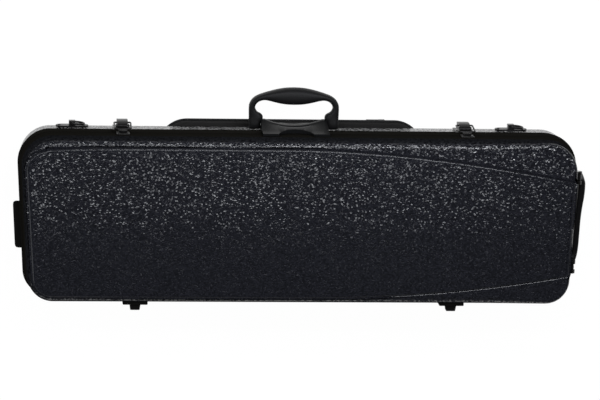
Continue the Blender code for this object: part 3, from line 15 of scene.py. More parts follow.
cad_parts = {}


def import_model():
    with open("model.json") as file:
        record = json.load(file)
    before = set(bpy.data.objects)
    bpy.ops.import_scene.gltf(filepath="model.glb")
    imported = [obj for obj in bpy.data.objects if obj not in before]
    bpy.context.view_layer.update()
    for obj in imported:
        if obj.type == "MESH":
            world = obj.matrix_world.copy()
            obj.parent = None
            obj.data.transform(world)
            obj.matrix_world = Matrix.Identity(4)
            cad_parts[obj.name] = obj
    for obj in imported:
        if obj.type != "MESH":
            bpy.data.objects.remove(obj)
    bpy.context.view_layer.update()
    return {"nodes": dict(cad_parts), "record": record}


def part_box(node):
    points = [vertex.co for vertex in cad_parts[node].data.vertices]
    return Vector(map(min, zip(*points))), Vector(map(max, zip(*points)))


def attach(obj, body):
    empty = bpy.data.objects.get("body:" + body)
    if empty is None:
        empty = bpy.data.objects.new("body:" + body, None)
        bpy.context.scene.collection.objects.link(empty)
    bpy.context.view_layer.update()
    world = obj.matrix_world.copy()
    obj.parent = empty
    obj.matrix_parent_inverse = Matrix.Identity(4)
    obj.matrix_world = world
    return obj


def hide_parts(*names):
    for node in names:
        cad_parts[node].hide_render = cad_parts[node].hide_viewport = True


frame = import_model()
MM = 0.001

# %% [markdown]
# Every size below is given in millimetres from the middle of the case at the seam between lid and back. The
# pocket behind the back is centred under the fittings, so its box tells where that point lies.

# %% Find the middle of the seam
FITTINGS_SHIFT = 6.0
BACK_DEPTH = 66.0
LID_DEPTH = 60.0
GAP = 0.3
pocket_low, pocket_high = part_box("music_pocket")
SEAM = np.array([
    (pocket_low[0] + pocket_high[0]) / 2 - FITTINGS_SHIFT * MM,
    (pocket_low[1] + pocket_high[1]) / 2,
    pocket_high[2] + (BACK_DEPTH + GAP) * MM,
])


def world(points):
    """Case millimetres to the frame's metres: p * 0.001 + the seam's middle."""
    return np.asarray(points, dtype=float) * MM + SEAM


print("seam's middle:", SEAM.round(5))

# %% [markdown]
# ## Surfaces from arrays
# A surface is a grid of points: rows along one parameter, columns along the other. `quads` numbers its
# faces, and `piece` puts points and faces into a mesh that rides on a body of the frame.

# %% Grids into meshes


def quads(rows, columns, wrap_rows=False, wrap_columns=False):
    """Faces of a grid: corners (r, c), (r, c+1), (r+1, c+1), (r+1, c), its edges joined where asked."""
    r = np.arange(rows if wrap_rows else rows - 1)[:, None]
    c = np.arange(columns if wrap_columns else columns - 1)[None, :]
    down, right = (r + 1) % rows, (c + 1) % columns
    corners = [r * columns + c, r * columns + right, down * columns + right, down * columns + c]
    return np.stack(corners, -1).reshape(-1, 4)


def box_uv(mesh):
    """A UV map in millimetres: each face is seen along the axis that its normal is closest to."""
    corners = np.empty(len(mesh.loops), dtype=int)
    mesh.loops.foreach_get("vertex_index", corners)
    places = np.empty(len(mesh.vertices) * 3)
    mesh.vertices.foreach_get("co", places)
    normals = np.empty(len(mesh.polygons) * 3)
    mesh.polygons.foreach_get("normal", normals)
    sizes = np.empty(len(mesh.polygons), dtype=int)
    mesh.polygons.foreach_get("loop_total", sizes)
    places = (places.reshape(-1, 3)[corners] - SEAM) / MM
    facing = np.repeat(np.abs(normals.reshape(-1, 3)).argmax(axis=1), sizes)
    u = np.where(facing == 0, places[:, 1], places[:, 0])
    v = np.where(facing == 2, places[:, 1], places[:, 2])
    layer = mesh.uv_layers.new(name="surface")
    layer.data.foreach_set("uv", np.column_stack([u, v]).ravel())


replaced = set()


def placed(name, data):
    """A new object in the scene."""
    made = bpy.data.objects.new(name, data)
    bpy.context.scene.collection.objects.link(made)
    return made


def finished(name, mesh, finish, sharp):
    """An object from a mesh: one UV map, one finish, and edges over `sharp` degrees kept crisp."""
    mesh.name = name
    for layer in list(mesh.uv_layers):
        mesh.uv_layers.remove(layer)
    box_uv(mesh)
    mesh.shade_smooth()
    mesh.set_sharp_from_angle(angle=math.radians(sharp))
    mesh.materials.clear()
    mesh.materials.append(finish)
    return placed(name, mesh)


def round_edges(made, width, sharp):
    """A bevel of a width in millimetres on the edges over `sharp` degrees."""
    rounding = made.modifiers.new("rounded edges", "BEVEL")
    rounding.width, rounding.segments = width * MM, 2
    rounding.limit_method, rounding.angle_limit = "ANGLE", math.radians(sharp)


def hand_over(made, body, replaces):
    """A finished object takes its place: it rides on a body, and stands for the nodes that it replaces."""
    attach(made, body)
    if replaces:
        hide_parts(*replaces)
    replaced.update(replaces)
    return made


def piece(name, points, faces, finish, body, slot, replaces=(), sharp=35, bevel=0.0):
    """A named mesh from case-millimetre points and faces, its edges over `sharp` degrees kept crisp."""
    mesh = bpy.data.meshes.new(name)
    mesh.from_pydata(world(points).reshape(-1, 3).tolist(), [], [[int(i) for i in face] for face in faces])
    bm = bmesh.new()
    bm.from_mesh(mesh)
    bmesh.ops.recalc_face_normals(bm, faces=bm.faces)
    bm.to_mesh(mesh)
    bm.free()
    made = finished(name, mesh, finish, sharp)
    if bevel:
        round_edges(made, bevel, sharp)
    return hand_over(made, body, replaces)


def drawn_in(loop, shares, levels):
    """More rows inside a loop: its points moved towards their mean by each share, at each level."""
    middle = np.mean(loop, axis=0)
    rows = middle + (loop - middle) * (1 - np.asarray(shares, dtype=float))[:, None, None]
    rows[..., 2] = np.asarray(levels, dtype=float)[:, None]
    return list(rows)


def closed_loft(loops):
    """Points and faces of a skin through equal loops, with a flat cap on the first and the last."""
    loops = np.asarray(loops, dtype=float)
    rows, columns = loops.shape[:2]
    faces = quads(rows, columns, wrap_columns=True).tolist()
    faces += [list(range(columns))[::-1], list(range((rows - 1) * columns, rows * columns))]
    return loops.reshape(-1, 3), faces


def ring_loft(loops):
    """Points and faces of a closed profile carried round a closed path: both ways of the grid wrap."""
    loops = np.asarray(loops, dtype=float)
    return loops.reshape(-1, 3), quads(*loops.shape[:2], wrap_rows=True, wrap_columns=True).tolist()


# %% [markdown]
# ## The plan of the case
# Both shells follow one plan: long straight sides, ends that close in slightly towards the hinges, and
# round corners. The lid's ends lean in as they rise. Each side is sampled with its own fixed number of
# points, so that any two loops of the case, whatever their size, match point for point.

# %% Plan loops
LENGTH, WIDTH = 787.0, 231.0
BROAD_TAPER, NARROW_TAPER = 12.0, 8.0
FRONT_RADIUS, REAR_RADIUS = 43.0, 35.0
END_LEAN = 5.0
CORNER_POINTS, LONG_POINTS, END_POINTS = 20, 80, 24
SIDE_POINTS = (END_POINTS, LONG_POINTS, END_POINTS, LONG_POINTS)


def line(start, end, count):
    """Points from start to end, the end left out: start + t (end - start)."""
    t = np.arange(count)[:, None] / count
    return np.asarray(start) + t * (np.asarray(end) - np.asarray(start))


def arc(centre, radius, first, last, count):
    """Points of an arc in degrees, its last point left out: centre + radius (cos a, sin a)."""
    a = np.radians(first + (last - first) * np.arange(count) / count)
    return np.asarray(centre) + radius * np.stack([np.cos(a), np.sin(a)], -1)


def rounded_corner(before, corner, after, radius, grow):
    """Centre and first and last angle of the arc that rounds a corner, for a plan moved out by grow."""
    into, out = corner - before, after - corner
    first = np.array([into[1], -into[0]]) / np.hypot(*into)
    last = np.array([out[1], -out[0]]) / np.hypot(*out)
    centre = corner - radius * np.linalg.solve(np.array([first, last]), np.ones(2))
    start = math.degrees(math.atan2(first[1], first[0]))
    turn = (math.degrees(math.atan2(last[1], last[0])) - start) % 360
    return centre, radius + grow, start, start + turn


def rounded_plan(corners, grow, counts):
    """An anticlockwise plan: each corner's arc, then the side to the next in counts[i] steps."""
    places = [np.array(corner[:2], dtype=float) for corner in corners]
    arcs = [
        rounded_corner(places[i - 1], places[i], places[(i + 1) % len(places)], corners[i][2], grow)
        for i in range(len(places))
    ]
    points = []
    for i, (centre, radius, first, last) in enumerate(arcs):
        next_centre, next_radius, next_first, _ = arcs[(i + 1) % len(arcs)]
        end = arc(centre, radius, last, last, 1)[0]
        begin = arc(next_centre, next_radius, next_first, next_first, 1)[0]
        points += [arc(centre, radius, first, last, CORNER_POINTS), line(end, begin, counts[i])]
    return np.concatenate(points)


def rectangle(low, high, radius):
    """The corners of a rectangle, anticlockwise from (high, low), each with its radius."""
    return [(high[0], low[1], radius), (*high, radius), (low[0], high[1], radius), (*low, radius)]


def case_loop(grow, level):
    """The case's plan at a height, moved out by grow: 3 columns, the height repeated."""
    half, side = LENGTH / 2 - END_LEAN * max(level, 0) / LID_DEPTH, WIDTH / 2
    corners = [
        (half, -side, FRONT_RADIUS), (half - BROAD_TAPER, side, REAR_RADIUS),
        (-half + NARROW_TAPER, side, REAR_RADIUS), (-half, -side, FRONT_RADIUS),
    ]
    plan = rounded_plan(corners, grow, SIDE_POINTS)
    return np.column_stack([plan, np.full(len(plan), level)])


def case_ring(profile):
    """A closed (grow, height) profile carried round the case."""
    return ring_loft([case_loop(grow, level) for grow, level in profile])


print("points in a plan loop:", len(case_loop(0, 0)))

# %% [markdown]
# ## Finishes
# A finish starts from the real material. Its colours are written as the hex values a paint chart would
# give, and one function turns them to the linear values that a shader reads.

# %% Colour and node helpers


def linear(colour):
    """sRGB hex to linear RGBA: c / 12.92 in the foot, ((c + 0.055) / 1.055) ** 2.4 above it."""
    channels = [int(colour[i:i + 2], 16) / 255 for i in (1, 3, 5)]
    return [c / 12.92 if c <= 0.04045 else ((c + 0.055) / 1.055) ** 2.4 for c in channels] + [1.0]


def add(tree, kind, values=None, links=None, **settings):
    """One shader node: its settings, its inputs' values, and the nodes or sockets that link to its inputs."""
    made = tree.nodes.new("ShaderNode" + kind)
    for name, value in settings.items():
        setattr(made, name, value)
    for key, value in (values or {}).items():
        made.inputs[key].default_value = value
    for key, source in (links or {}).items():
        tree.links.new(source.outputs[0] if hasattr(source, "outputs") else source, made.inputs[key])
    return made


def start_finish(name, colour, roughness, **values):
    """A material with a Principled shader: name, colour and roughness, other inputs by their names."""
    material = bpy.data.materials.new(name)
    material.use_nodes = True
    shader = material.node_tree.nodes["Principled BSDF"]
    shader.inputs["Base Color"].default_value = linear(colour)
    shader.inputs["Roughness"].default_value = roughness
    for key, value in values.items():
        shader.inputs[key].default_value = value
    return material, material.node_tree, shader


def feed(tree, shader, tone, rough, bump):
    """Three nodes give a shader its colour, its roughness and its normal."""
    for name, node in (("Base Color", tone), ("Roughness", rough), ("Normal", bump)):
        tree.links.new(node.outputs[0], shader.inputs[name])


# %% [markdown]
# ### Embossed shell
# The shells are ABS sheet, vacuum-formed over a tool that prints short dashes in close rows. Each dash is a
# facet that leans its own way by a few degrees, so from a step away the shell is a fine mosaic, and
# wherever a lamp is reflected, the facets that lean towards it glint. The rows are drawn on the surface's
# own millimetres, which its UV map holds.

# %% Embossed ABS
ROW_PITCH = 1.4
FACET_LENGTH = 2.0
FACET_LEAN = 0.27
ROW_SHIFT_SHARE = 0.37
ROW_GROOVE = 0.02
GROOVE_SHARE = 0.12
FACET_ROUGH = (0.06, 0.17)


def facet_number(tree, place):
    """The facet at a place: row = floor(v / pitch) and along = floor(u / length + shift * row)."""
    row_of = add(tree, "Math", {1: ROW_PITCH}, {0: place.outputs[1]}, operation="DIVIDE")
    row = add(tree, "Math", links={0: row_of}, operation="FLOOR")
    run = add(tree, "Math", {1: FACET_LENGTH}, {0: place.outputs[0]}, operation="DIVIDE")
    moved = add(tree, "Math", {1: ROW_SHIFT_SHARE}, {0: row, 2: run}, operation="MULTIPLY_ADD")
    along = add(tree, "Math", links={0: moved}, operation="FLOOR")
    return add(tree, "CombineXYZ", links={0: along, 1: row}), row_of


def embossed_abs(name, dark, light, gloss, lean):
    """Leaning facets: white noise of a facet's number gives its normal's two slopes; grooves part rows."""
    finish, tree, shader = start_finish(name, dark, FACET_ROUGH[0], IOR=1.5, **{"Specular IOR Level": gloss})
    place = add(tree, "SeparateXYZ", links={0: add(tree, "UVMap", uv_map="surface")})
    facet, row_of = facet_number(tree, place)
    chance = add(tree, "TexWhiteNoise", links={0: facet}, noise_dimensions="2D").outputs
    slopes = add(
        tree, "VectorMath", {1: (lean, lean, 0), 2: (0.5 - lean / 2, 0.5 - lean / 2, 1)},
        {0: chance["Color"]}, operation="MULTIPLY_ADD",
    )
    leaning = add(tree, "NormalMap", links={"Color": slopes}, uv_map="surface")
    within = add(tree, "Math", links={0: row_of}, operation="FRACT")
    ridge = add(tree, "MapRange", {"From Max": GROOVE_SHARE}, {0: within})
    bump = add(tree, "Bump", {"Distance": ROW_GROOVE * MM}, {"Height": ridge, "Normal": leaning})
    rough_ends = dict(zip(("To Min", "To Max"), FACET_ROUGH))
    rough = add(tree, "MapRange", rough_ends, {0: chance["Value"]})
    tone = add(tree, "ValToRGB", links={0: chance["Value"]})
    tone.color_ramp.elements[0].color, tone.color_ramp.elements[1].color = linear(dark), linear(light)
    feed(tree, shader, tone, rough, bump)
    return finish


# the facets are flatter on the back, round the lid's edge and on its panel's step; the lid's wall is dull,
# with painted shade in its darker tone and painted glints in its paler facets
shell_finish = embossed_abs("embossed_abs", "#121317", "#212228", 0.5, FACET_LEAN)
wall_finish_painted_shade_glints = embossed_abs("embossed_wall_painted_shade_and_glints", "#0b0b0d", "#232427", 0.0, FACET_LEAN)
back_finish = embossed_abs("embossed_back", "#0f1012", "#2e2f33", 0.4, FACET_LEAN * 0.75)
edge_finish = embossed_abs("embossed_edge", "#0f1013", "#212228", 0.7, FACET_LEAN / 1.8)
step_finish = embossed_abs("embossed_step", "#121317", "#212228", 0.4, FACET_LEAN / 5)
print("embossed rows every", ROW_PITCH, "mm")

# %% [markdown]
# ### Plainer plastics, rubber, metal and cloth
# Every other finish gets the small unevenness that its making leaves: a moulded grain of about a millimetre
# on plastic and rubber, a finer one on metal, threads on woven nylon and a short pile on velvet.

# %% Grain and threads


def place_mm(tree):
    """The piece's own millimetres: Object coordinates times a thousand."""
    coordinates = add(tree, "TexCoord").outputs["Object"]
    return add(tree, "VectorMath", {1: (1 / MM,) * 3}, {0: coordinates}, operation="MULTIPLY")


def vary(tree, shader, pattern, dark, light, rough_low, rough_high, height):
    """A pattern from 0 to 1 moves the colour from dark to light, the roughness and a bump of height mm."""
    tone = add(tree, "ValToRGB", links={0: pattern})
    tone.color_ramp.elements[0].color, tone.color_ramp.elements[1].color = linear(dark), linear(light)
    rough = add(tree, "MapRange", {"To Min": rough_low, "To Max": rough_high}, {0: pattern})
    bump = add(tree, "Bump", {"Distance": height * MM}, {"Height": pattern})
    feed(tree, shader, tone, rough, bump)


def grained(name, dark, light, grain, rough, height=0.03, **values):
    """Noise of one grain size in millimetres, as it is left by a mould or by plating."""
    finish, tree, shader = start_finish(name, dark, rough[0], **values)
    noise = add(tree, "TexNoise", {"Scale": 1 / grain, "Detail": 3.0}, {0: place_mm(tree)})
    vary(tree, shader, noise, dark, light, *rough, height)
    return finish


def woven(name, dark, light, pitch, height, rough=(0.75, 0.95)):
    """Plain weave on the UV map: a checker picks warp or weft, and each thread is |sin(pi u / pitch)|."""
    finish, tree, shader = start_finish(name, dark, rough[0])
    place = add(tree, "UVMap", uv_map="surface")
    turn = (math.pi / pitch,) * 3
    threads = add(tree, "VectorMath", {1: turn}, {0: place}, operation="MULTIPLY")
    waves = add(tree, "VectorMath", links={0: threads}, operation="SINE")
    rounds = add(tree, "VectorMath", links={0: waves}, operation="ABSOLUTE")
    ways = add(tree, "SeparateXYZ", links={0: rounds}).outputs
    turns = add(tree, "TexChecker", {"Scale": 1 / pitch}, {0: place}).outputs["Fac"]
    over = add(tree, "Mix", links={0: turns, 2: ways[0], 3: ways[1]}, data_type="FLOAT")
    vary(tree, shader, over, dark, light, *rough, height)
    return finish


MATTE = {"Specular IOR Level": 0.0}
FAINT = {"Specular IOR Level": 0.012}
SATIN = {"Specular IOR Level": 0.2, "IOR": 1.5}
smooth_abs = grained("smooth_abs", "#151412", "#1c1b18", grain=1.4, rough=(0.5, 0.58), height=0.01, **MATTE)
moulded_nylon = grained("moulded_nylon", "#101011", "#181819", grain=0.7, rough=(0.42, 0.55), **SATIN)
base_nylon = grained("base_nylon", "#121213", "#191a1b", grain=0.7, rough=(0.25, 0.32), height=0.01, **FAINT)
foot_rubber = grained("foot_rubber", "#131313", "#1b1b1a", grain=0.9, rough=(0.6, 0.75), **MATTE)
plated_black = grained(
    "plated_black", "#101010", "#1b1a1a", grain=0.5, rough=(0.25, 0.4), height=0.01, **SATIN
)
polished_steel = grained(
    "polished_steel", "#8f8f8d", "#b5b5b2", grain=0.4, rough=(0.16, 0.28), height=0.005, Metallic=1.0
)
black_nylon = woven("black_nylon", "#0d0c0b", "#191817", 0.9, 0.12)
print("finishes:", len(bpy.data.materials))

# %% [markdown]
# ### Velvet
# The lining is a short-pile velvet over foam. Pile is too fine to draw hair by hair, so noise of a third of
# a millimetre stands for it, larger noise for the places where it has been brushed over, and sheen for the
# pale edge that velvet shows when it is looked at along the surface.

# %% Velvet
PILE_PER_MM, BRUSHING_PER_MM = 2.6, 0.03
PILE_SHARE = 0.4


def velvet(name, dark, light):
    """Two noises, pile and brushing: share * pile + (1 - share) * brushing picks the tone."""
    sheen = {"Sheen Weight": 0.35, "Sheen Roughness": 0.4}
    finish, tree, shader = start_finish(name, dark, 0.9, **sheen)
    place = place_mm(tree)
    pile = add(tree, "TexNoise", {"Scale": PILE_PER_MM, "Detail": 2.0}, {0: place})
    brushed = add(tree, "TexNoise", {"Scale": BRUSHING_PER_MM, "Detail": 3.0}, {0: place})
    part = add(tree, "Math", {1: PILE_SHARE}, {0: pile}, operation="MULTIPLY")
    both = add(tree, "Math", {1: 1 - PILE_SHARE}, {0: brushed, 2: part}, operation="MULTIPLY_ADD")
    vary(tree, shader, both, dark, light, 0.85, 0.95, 0.15)
    return finish


bed_velvet = velvet("bed_velvet", "#26282e", "#3d4048")
lid_velvet = velvet("lid_velvet", "#2b2d33", "#43464f")

# %% [markdown]
# ## The shells
# The lid is one skin: up the inner wall, over its edge at the seam band, up the embossed wall, round the
# edge and over the top. There a shallow groove sets off the raised panel, whose front edge falls away
# towards the narrow end. The panel's outline has as many points as the plan, so the same skin runs on over
# it.

# %% The raised panel's outline
PANEL_TOP = 62.0
SMOOTH_TO, DULL_TO = 31.0, 56.8
PANEL_BROAD, PANEL_NARROW = 382.0, -384.6
PANEL_RADIUS, PANEL_TIGHT = 28.0, 4.0
FRONT_INSET, FRONT_FALL, FRONT_FALL_FROM = 12.4, 43.8, 10.0
BROAD_PULL, BROAD_PULL_FROM = 4.5, 262.0
REAR_INSET, REAR_FALL, REAR_FALL_FROM = 8.0, 34.0, -10.0
BROAD_TAPER_SHARE, NARROW_TAPER_SHARE = 0.8, 0.6


def panel_front(x):
    """Front edge: an inset from the wall + fall * t ** 1.8 to the narrow end + pull * s ** 2 to the broad."""
    fall = np.clip((FRONT_FALL_FROM - x) / (FRONT_FALL_FROM - PANEL_NARROW), 0, None)
    pull = np.clip((x - BROAD_PULL_FROM) / (PANEL_BROAD - BROAD_PULL_FROM), 0, 1)
    return -WIDTH / 2 + FRONT_INSET + FRONT_FALL * fall**1.8 + BROAD_PULL * pull**2


def panel_rear(x):
    """Rear edge: an inset from the wall + fall * t ** 2 to the narrow end."""
    fall = np.clip((REAR_FALL_FROM - x) / (REAR_FALL_FROM - PANEL_NARROW), 0, None)
    return WIDTH / 2 - REAR_INSET - REAR_FALL * fall**2


def panel_loop():
    """Arc, end, arc, rear side, arc, end, arc and front side, each with as many points as in the plan."""
    front, rear = panel_front(PANEL_BROAD), panel_rear(PANEL_BROAD)
    broad_rear = PANEL_BROAD - BROAD_TAPER * BROAD_TAPER_SHARE
    narrow_rear = PANEL_NARROW + NARROW_TAPER * NARROW_TAPER_SHARE
    round_off, tight = PANEL_RADIUS, PANEL_TIGHT
    rear_x = np.linspace(broad_rear - round_off, narrow_rear + tight, LONG_POINTS)
    front_x = np.linspace(PANEL_NARROW + tight, PANEL_BROAD - round_off, LONG_POINTS)
    rear_turn = (rear_x[-1], panel_rear(rear_x[-1]) - tight)
    front_turn = (front_x[0], panel_front(front_x[0]) + tight)
    return np.concatenate([
        arc((PANEL_BROAD - round_off, front + round_off), round_off, -90, 0, CORNER_POINTS),
        line((PANEL_BROAD, front + round_off), (broad_rear, rear - round_off), END_POINTS),
        arc((broad_rear - round_off, rear - round_off), round_off, 0, 90, CORNER_POINTS),
        np.column_stack([rear_x, panel_rear(rear_x)]),
        arc(rear_turn, tight, 90, 180, CORNER_POINTS),
        line((rear_turn[0] - tight, rear_turn[1]), (front_turn[0] - tight, front_turn[1]), END_POINTS),
        arc(front_turn, tight, 180, 270, CORNER_POINTS),
        np.column_stack([front_x, panel_front(front_x)]),
    ])


def moved_out(plan, grow):
    """A plan moved out by grow along its normals, (dy, -dx) of the run between each point's neighbours."""
    run = np.roll(plan, -1, axis=0) - np.roll(plan, 1, axis=0)
    return plan + grow * np.column_stack([run[:, 1], -run[:, 0]]) / np.hypot(*run.T)[:, None]


panel = panel_loop()
print("panel:", len(panel), "points, as the plan's", len(case_loop(0, 0)))

# %% The embossed lid
EDGE_POINTS = 12


def edge_profile(wall, flat, radius, sign):
    """(grow, height) round an edge, wall to flat: radius * (1 - cos a) in and radius * (1 - sin a) short."""
    a = np.linspace(0, np.pi / 2, EDGE_POINTS + 1)
    return np.column_stack([wall - radius * (1 - np.cos(a)), flat - sign * radius * (1 - np.sin(a))])


LID_EDGE, NARROW_EDGE, BACK_EDGE, WALL = 10.0, 3.0, 14.0, 2.5
BAND_TOP, BAND_LEDGE = 30.0, -22.0
LIP, LIP_CHAMFER = 0.5, 0.8
inside = edge_profile(-WALL, LID_DEPTH - WALL, LID_EDGE - WALL, 1)[::-1]
outside = edge_profile(0, LID_DEPTH, LID_EDGE, 1)
foot_of_wall = [(-WALL, BAND_TOP + GAP), (-LIP, BAND_TOP + GAP), (0, BAND_TOP + LIP_CHAMFER)]
wall_profile = np.concatenate([inside, foot_of_wall, outside])

# at the narrow end the panel comes out to the wall, so the flat is wider there and its edge tighter
BLEND_POINTS = 8
narrow_start = 2 * CORNER_POINTS + END_POINTS + LONG_POINTS
at_end = np.zeros((len(panel), 1))
at_end[narrow_start:narrow_start + 2 * CORNER_POINTS + END_POINTS] = 1.0
shifts = range(-BLEND_POINTS, BLEND_POINTS + 1)
at_end = sum(np.roll(at_end, shift) for shift in shifts) / len(shifts)
lid_loops = [case_loop(grow, level) for grow, level in wall_profile[:-EDGE_POINTS]]
for usual, tighter in zip(wall_profile[-EDGE_POINTS:], edge_profile(0, LID_DEPTH, NARROW_EDGE, 1)[1:]):
    lid_loops.append((1 - at_end) * case_loop(*usual) + at_end * case_loop(*tighter))

# a loop close beside the flat's edge keeps the shading crisp there; past it come the groove and the step
SUPPORT, STEP_REACH = 1.2, 5.0
flat_edge = lid_loops[-1][:, :2]
room = np.hypot(*(flat_edge - panel).T)[:, None]
beside = flat_edge + (panel - flat_edge) * np.clip(SUPPORT / room, 0, 0.3)
lid_loops.append(np.column_stack([beside, lid_loops[-1][:, 2]]))
step_row = len(lid_loops)
PANEL_STEP = [
    (3.2, 60.0), (2.4, 60.0), (1.3, 59.6), (0.7, 59.1), (0.25, 59.1), (0.0, 60.0), (-0.4, 61.0),
    (-1.0, 61.55), (-2.0, 61.85), (-3.4, PANEL_TOP), (-4.6, PANEL_TOP),
]
reach = np.clip(room / STEP_REACH, 0.05, 1.0)
for grow, level in PANEL_STEP:
    plan = moved_out(panel, grow) if grow < 0 else panel + (moved_out(panel, grow) - panel) * reach
    dip = np.where(level < LID_DEPTH, LID_DEPTH - (LID_DEPTH - level) * reach, level)
    lid_loops.append(np.column_stack([plan, dip]))
points, faces = closed_loft(lid_loops)
embossed_lid = piece("embossed_lid", points, faces, shell_finish, "lid", "embossed_shell", ["lid_shell"])

# the wall is smooth next to the band and dull above it, where its colour holds painted shade and painted
# glints; the rounded edge and the step have their own finish
middles = np.empty(len(embossed_lid.data.polygons) * 3)
embossed_lid.data.polygons.foreach_get("center", middles)
levels = (middles.reshape(-1, 3)[:, 2] - SEAM[2]) / MM
for finish in (smooth_abs, wall_finish_painted_shade_glints, edge_finish, step_finish):
    embossed_lid.data.materials.append(finish)
row = np.arange(len(levels)) // len(panel)
on_edge = (row >= step_row - 4) & (row < step_row - 2)
on_step = (row >= step_row) & (row < len(lid_loops) - 1)
chosen = np.select([levels < SMOOTH_TO, levels < DULL_TO, on_edge, on_step], [1, 2, 3, 4], 0)
embossed_lid.data.polygons.foreach_set("material_index", chosen)
print("lid:", len(points), "points")

# %% The embossed back
inside = edge_profile(-WALL, -BACK_DEPTH + WALL, BACK_EDGE - WALL, -1)[::-1]
outside = edge_profile(0, -BACK_DEPTH, BACK_EDGE, -1)
top_of_wall = [(-WALL, BAND_LEDGE - GAP), (-LIP, BAND_LEDGE - GAP), (0, BAND_LEDGE - LIP_CHAMFER)]
back_profile = np.concatenate([inside, top_of_wall, outside])
points, faces = closed_loft([case_loop(grow, level) for grow, level in back_profile])
piece("embossed_back", points, faces, back_finish, "case_back", "embossed_shell", ["back_shell"])

# %% [markdown]
# ## The bands along the seam
# Each shell is riveted into a smooth moulded band. The back's band carries the lip that the lid closes
# behind, and a rubber seal. Their sections are the solids' sections with softened corners, carried round
# the plan.

# %% Bands and seal
lid_section = [
    (-5, 0.4), (-1.2, 0.4), (-0.6, 0.55), (-0.15, 1.0), (0, 1.6), (0, 28.6), (-0.2, 29.4), (-0.8, 30),
    (-2.8, 30), (-2.8, 38), (-5, 38),
]
back_section = [
    (-5, -30), (-2.8, -30), (-2.8, -22), (0.3, -22), (0.8, -21.8), (1, -21.2), (1, -6.3), (1.2, -5.7),
    (2.7, -4.2), (3, -3.6), (3, -1.0), (2.8, -0.4), (2.2, 0), (-2.5, 0), (-2.5, -2.5), (-5, -2.5),
]
seal_section = [(-5, -2.2), (-2.8, -2.2), (-2.8, -0.6), (-3.1, -0.1), (-3.9, 0.1), (-4.7, -0.1), (-5, -0.6)]
piece("lid_band", *case_ring(lid_section), smooth_abs, "lid", "smooth_rim", ["lid_rim"])
piece("back_band", *case_ring(back_section), smooth_abs, "case_back", "smooth_rim", ["back_rim"])
piece("seam_seal", *case_ring(seal_section), foot_rubber, "case_back", "black_rubber", ["rim_seal"])

# %% [markdown]
# ## The metal and moulded fittings
# The solids of the small fittings have the right shape but knife edges. A copy of each one is welded, its
# flat faces are merged, and a bevel of a few tenths of a millimetre gives the soft edges that stamped and
# moulded pieces have.

# %% Fittings with softened edges
WELD = 0.00001
SOFT_SHARP = 30


def softened(node, finish, body, width, prouder):
    """A node's mesh with flat faces dissolved and edges bevelled, prouder times as far from the rear wall."""
    mesh = frame["nodes"][node].data.copy()
    bm = bmesh.new()
    bm.from_mesh(mesh)
    bmesh.ops.remove_doubles(bm, verts=bm.verts, dist=WELD)
    bmesh.ops.dissolve_limit(bm, angle_limit=math.radians(1), verts=bm.verts, edges=bm.edges)
    wall = SEAM[1] + WIDTH / 2 * MM
    bmesh.ops.translate(bm, vec=(0, -wall, 0), verts=bm.verts)
    bmesh.ops.scale(bm, vec=(1, prouder, 1), verts=bm.verts)
    bmesh.ops.translate(bm, vec=(0, wall, 0), verts=bm.verts)
    bm.to_mesh(mesh)
    bm.free()
    made = finished("soft_" + node, mesh, finish, SOFT_SHARP)
    round_edges(made, width, SOFT_SHARP)
    return hand_over(made, body, [node])


# %% [markdown]
# ## Main handle
# The handle is one moulding: a lens-shaped grip that thins into two shoulders, then legs that flare into a
# barb above the base. It is drawn as a tube along its middle line. Along that line go the half width across
# the line and the half depth towards the eye, and its section is a rounded rectangle.

# %% Tubes with changing sections


def smooth(values, count):
    """Catmull-Rom curve through the rows of values, sampled count times with equal steps of the parameter."""
    rows = np.asarray(values, dtype=float)
    padded = np.concatenate([2 * rows[:1] - rows[1:2], rows, 2 * rows[-1:] - rows[-2:-1]])
    at = np.linspace(0, len(rows) - 1, count)
    i = np.minimum(at.astype(int), len(rows) - 2)
    t = (at - i)[:, None]
    p0, p1, p2, p3 = (padded[i + k] for k in range(4))
    square, cube = 2 * p0 - 5 * p1 + 4 * p2 - p3, 3 * p1 - p0 - 3 * p2 + p3
    return 0.5 * (2 * p1 + (p2 - p0) * t + square * t**2 + cube * t**3)


def section(count, power):
    """Unit rounded rectangle: (|cos a| ** (2 / power) sign cos a, the same of sin a)."""
    a = np.linspace(0, 2 * np.pi, count, endpoint=False)
    wave = np.stack([np.cos(a), np.sin(a)], -1)
    return np.sign(wave) * np.abs(wave) ** (2 / power)


def flat_tube(path, half_width, half_depth, across, depth_axis, power, count):
    """Closed rows: path + half_width * across * s + half_depth * depth_axis * t, (s, t) of the section."""
    s_part, t_part = section(count, power).T
    rows = (
        path[:, None, :]
        + (half_width[:, None] * s_part)[..., None] * across[:, None, :]
        + (half_depth[:, None] * t_part)[..., None] * np.asarray(depth_axis, dtype=float)
    )
    return closed_loft(rows)


# %% The handle
HANDLE_LEVEL = -30.0
HANDLE_ROWS = 61
HANDLE_POWER = 2.6
HANDLE_REACH_SHARE = 0.96
# from the grip's middle down one leg: distance along X, out from the wall, half width and half depth
handle_half = np.array([
    (0, 50.6, 12.3, 11.0), (10, 50.6, 11.9, 11.0), (19, 50.6, 10.7, 10.9), (28, 50.6, 8.7, 10.6),
    (36, 50.4, 6.6, 10.2), (43, 49.6, 5.0, 9.6), (50, 47.3, 4.5, 9.0), (55.6, 43.2, 4.5, 8.4),
    (58.8, 37.6, 4.5, 7.6), (59.3, 32.5, 4.6, 7.1), (57.9, 27.6, 6.0, 6.8), (55.0, 22.6, 8.9, 6.6),
    (53.7, 18.6, 10.1, 6.6), (54.9, 14.5, 8.9, 6.6), (55.3, 8.6, 8.4, 6.6), (55.3, 4.4, 8.2, 5.7),
    (55.3, 2.6, 8.0, 4.4), (55.3, 1.6, 6.8, 2.4),
])
leg = smooth(handle_half, HANDLE_ROWS)
leg[:, 1] *= HANDLE_REACH_SHARE
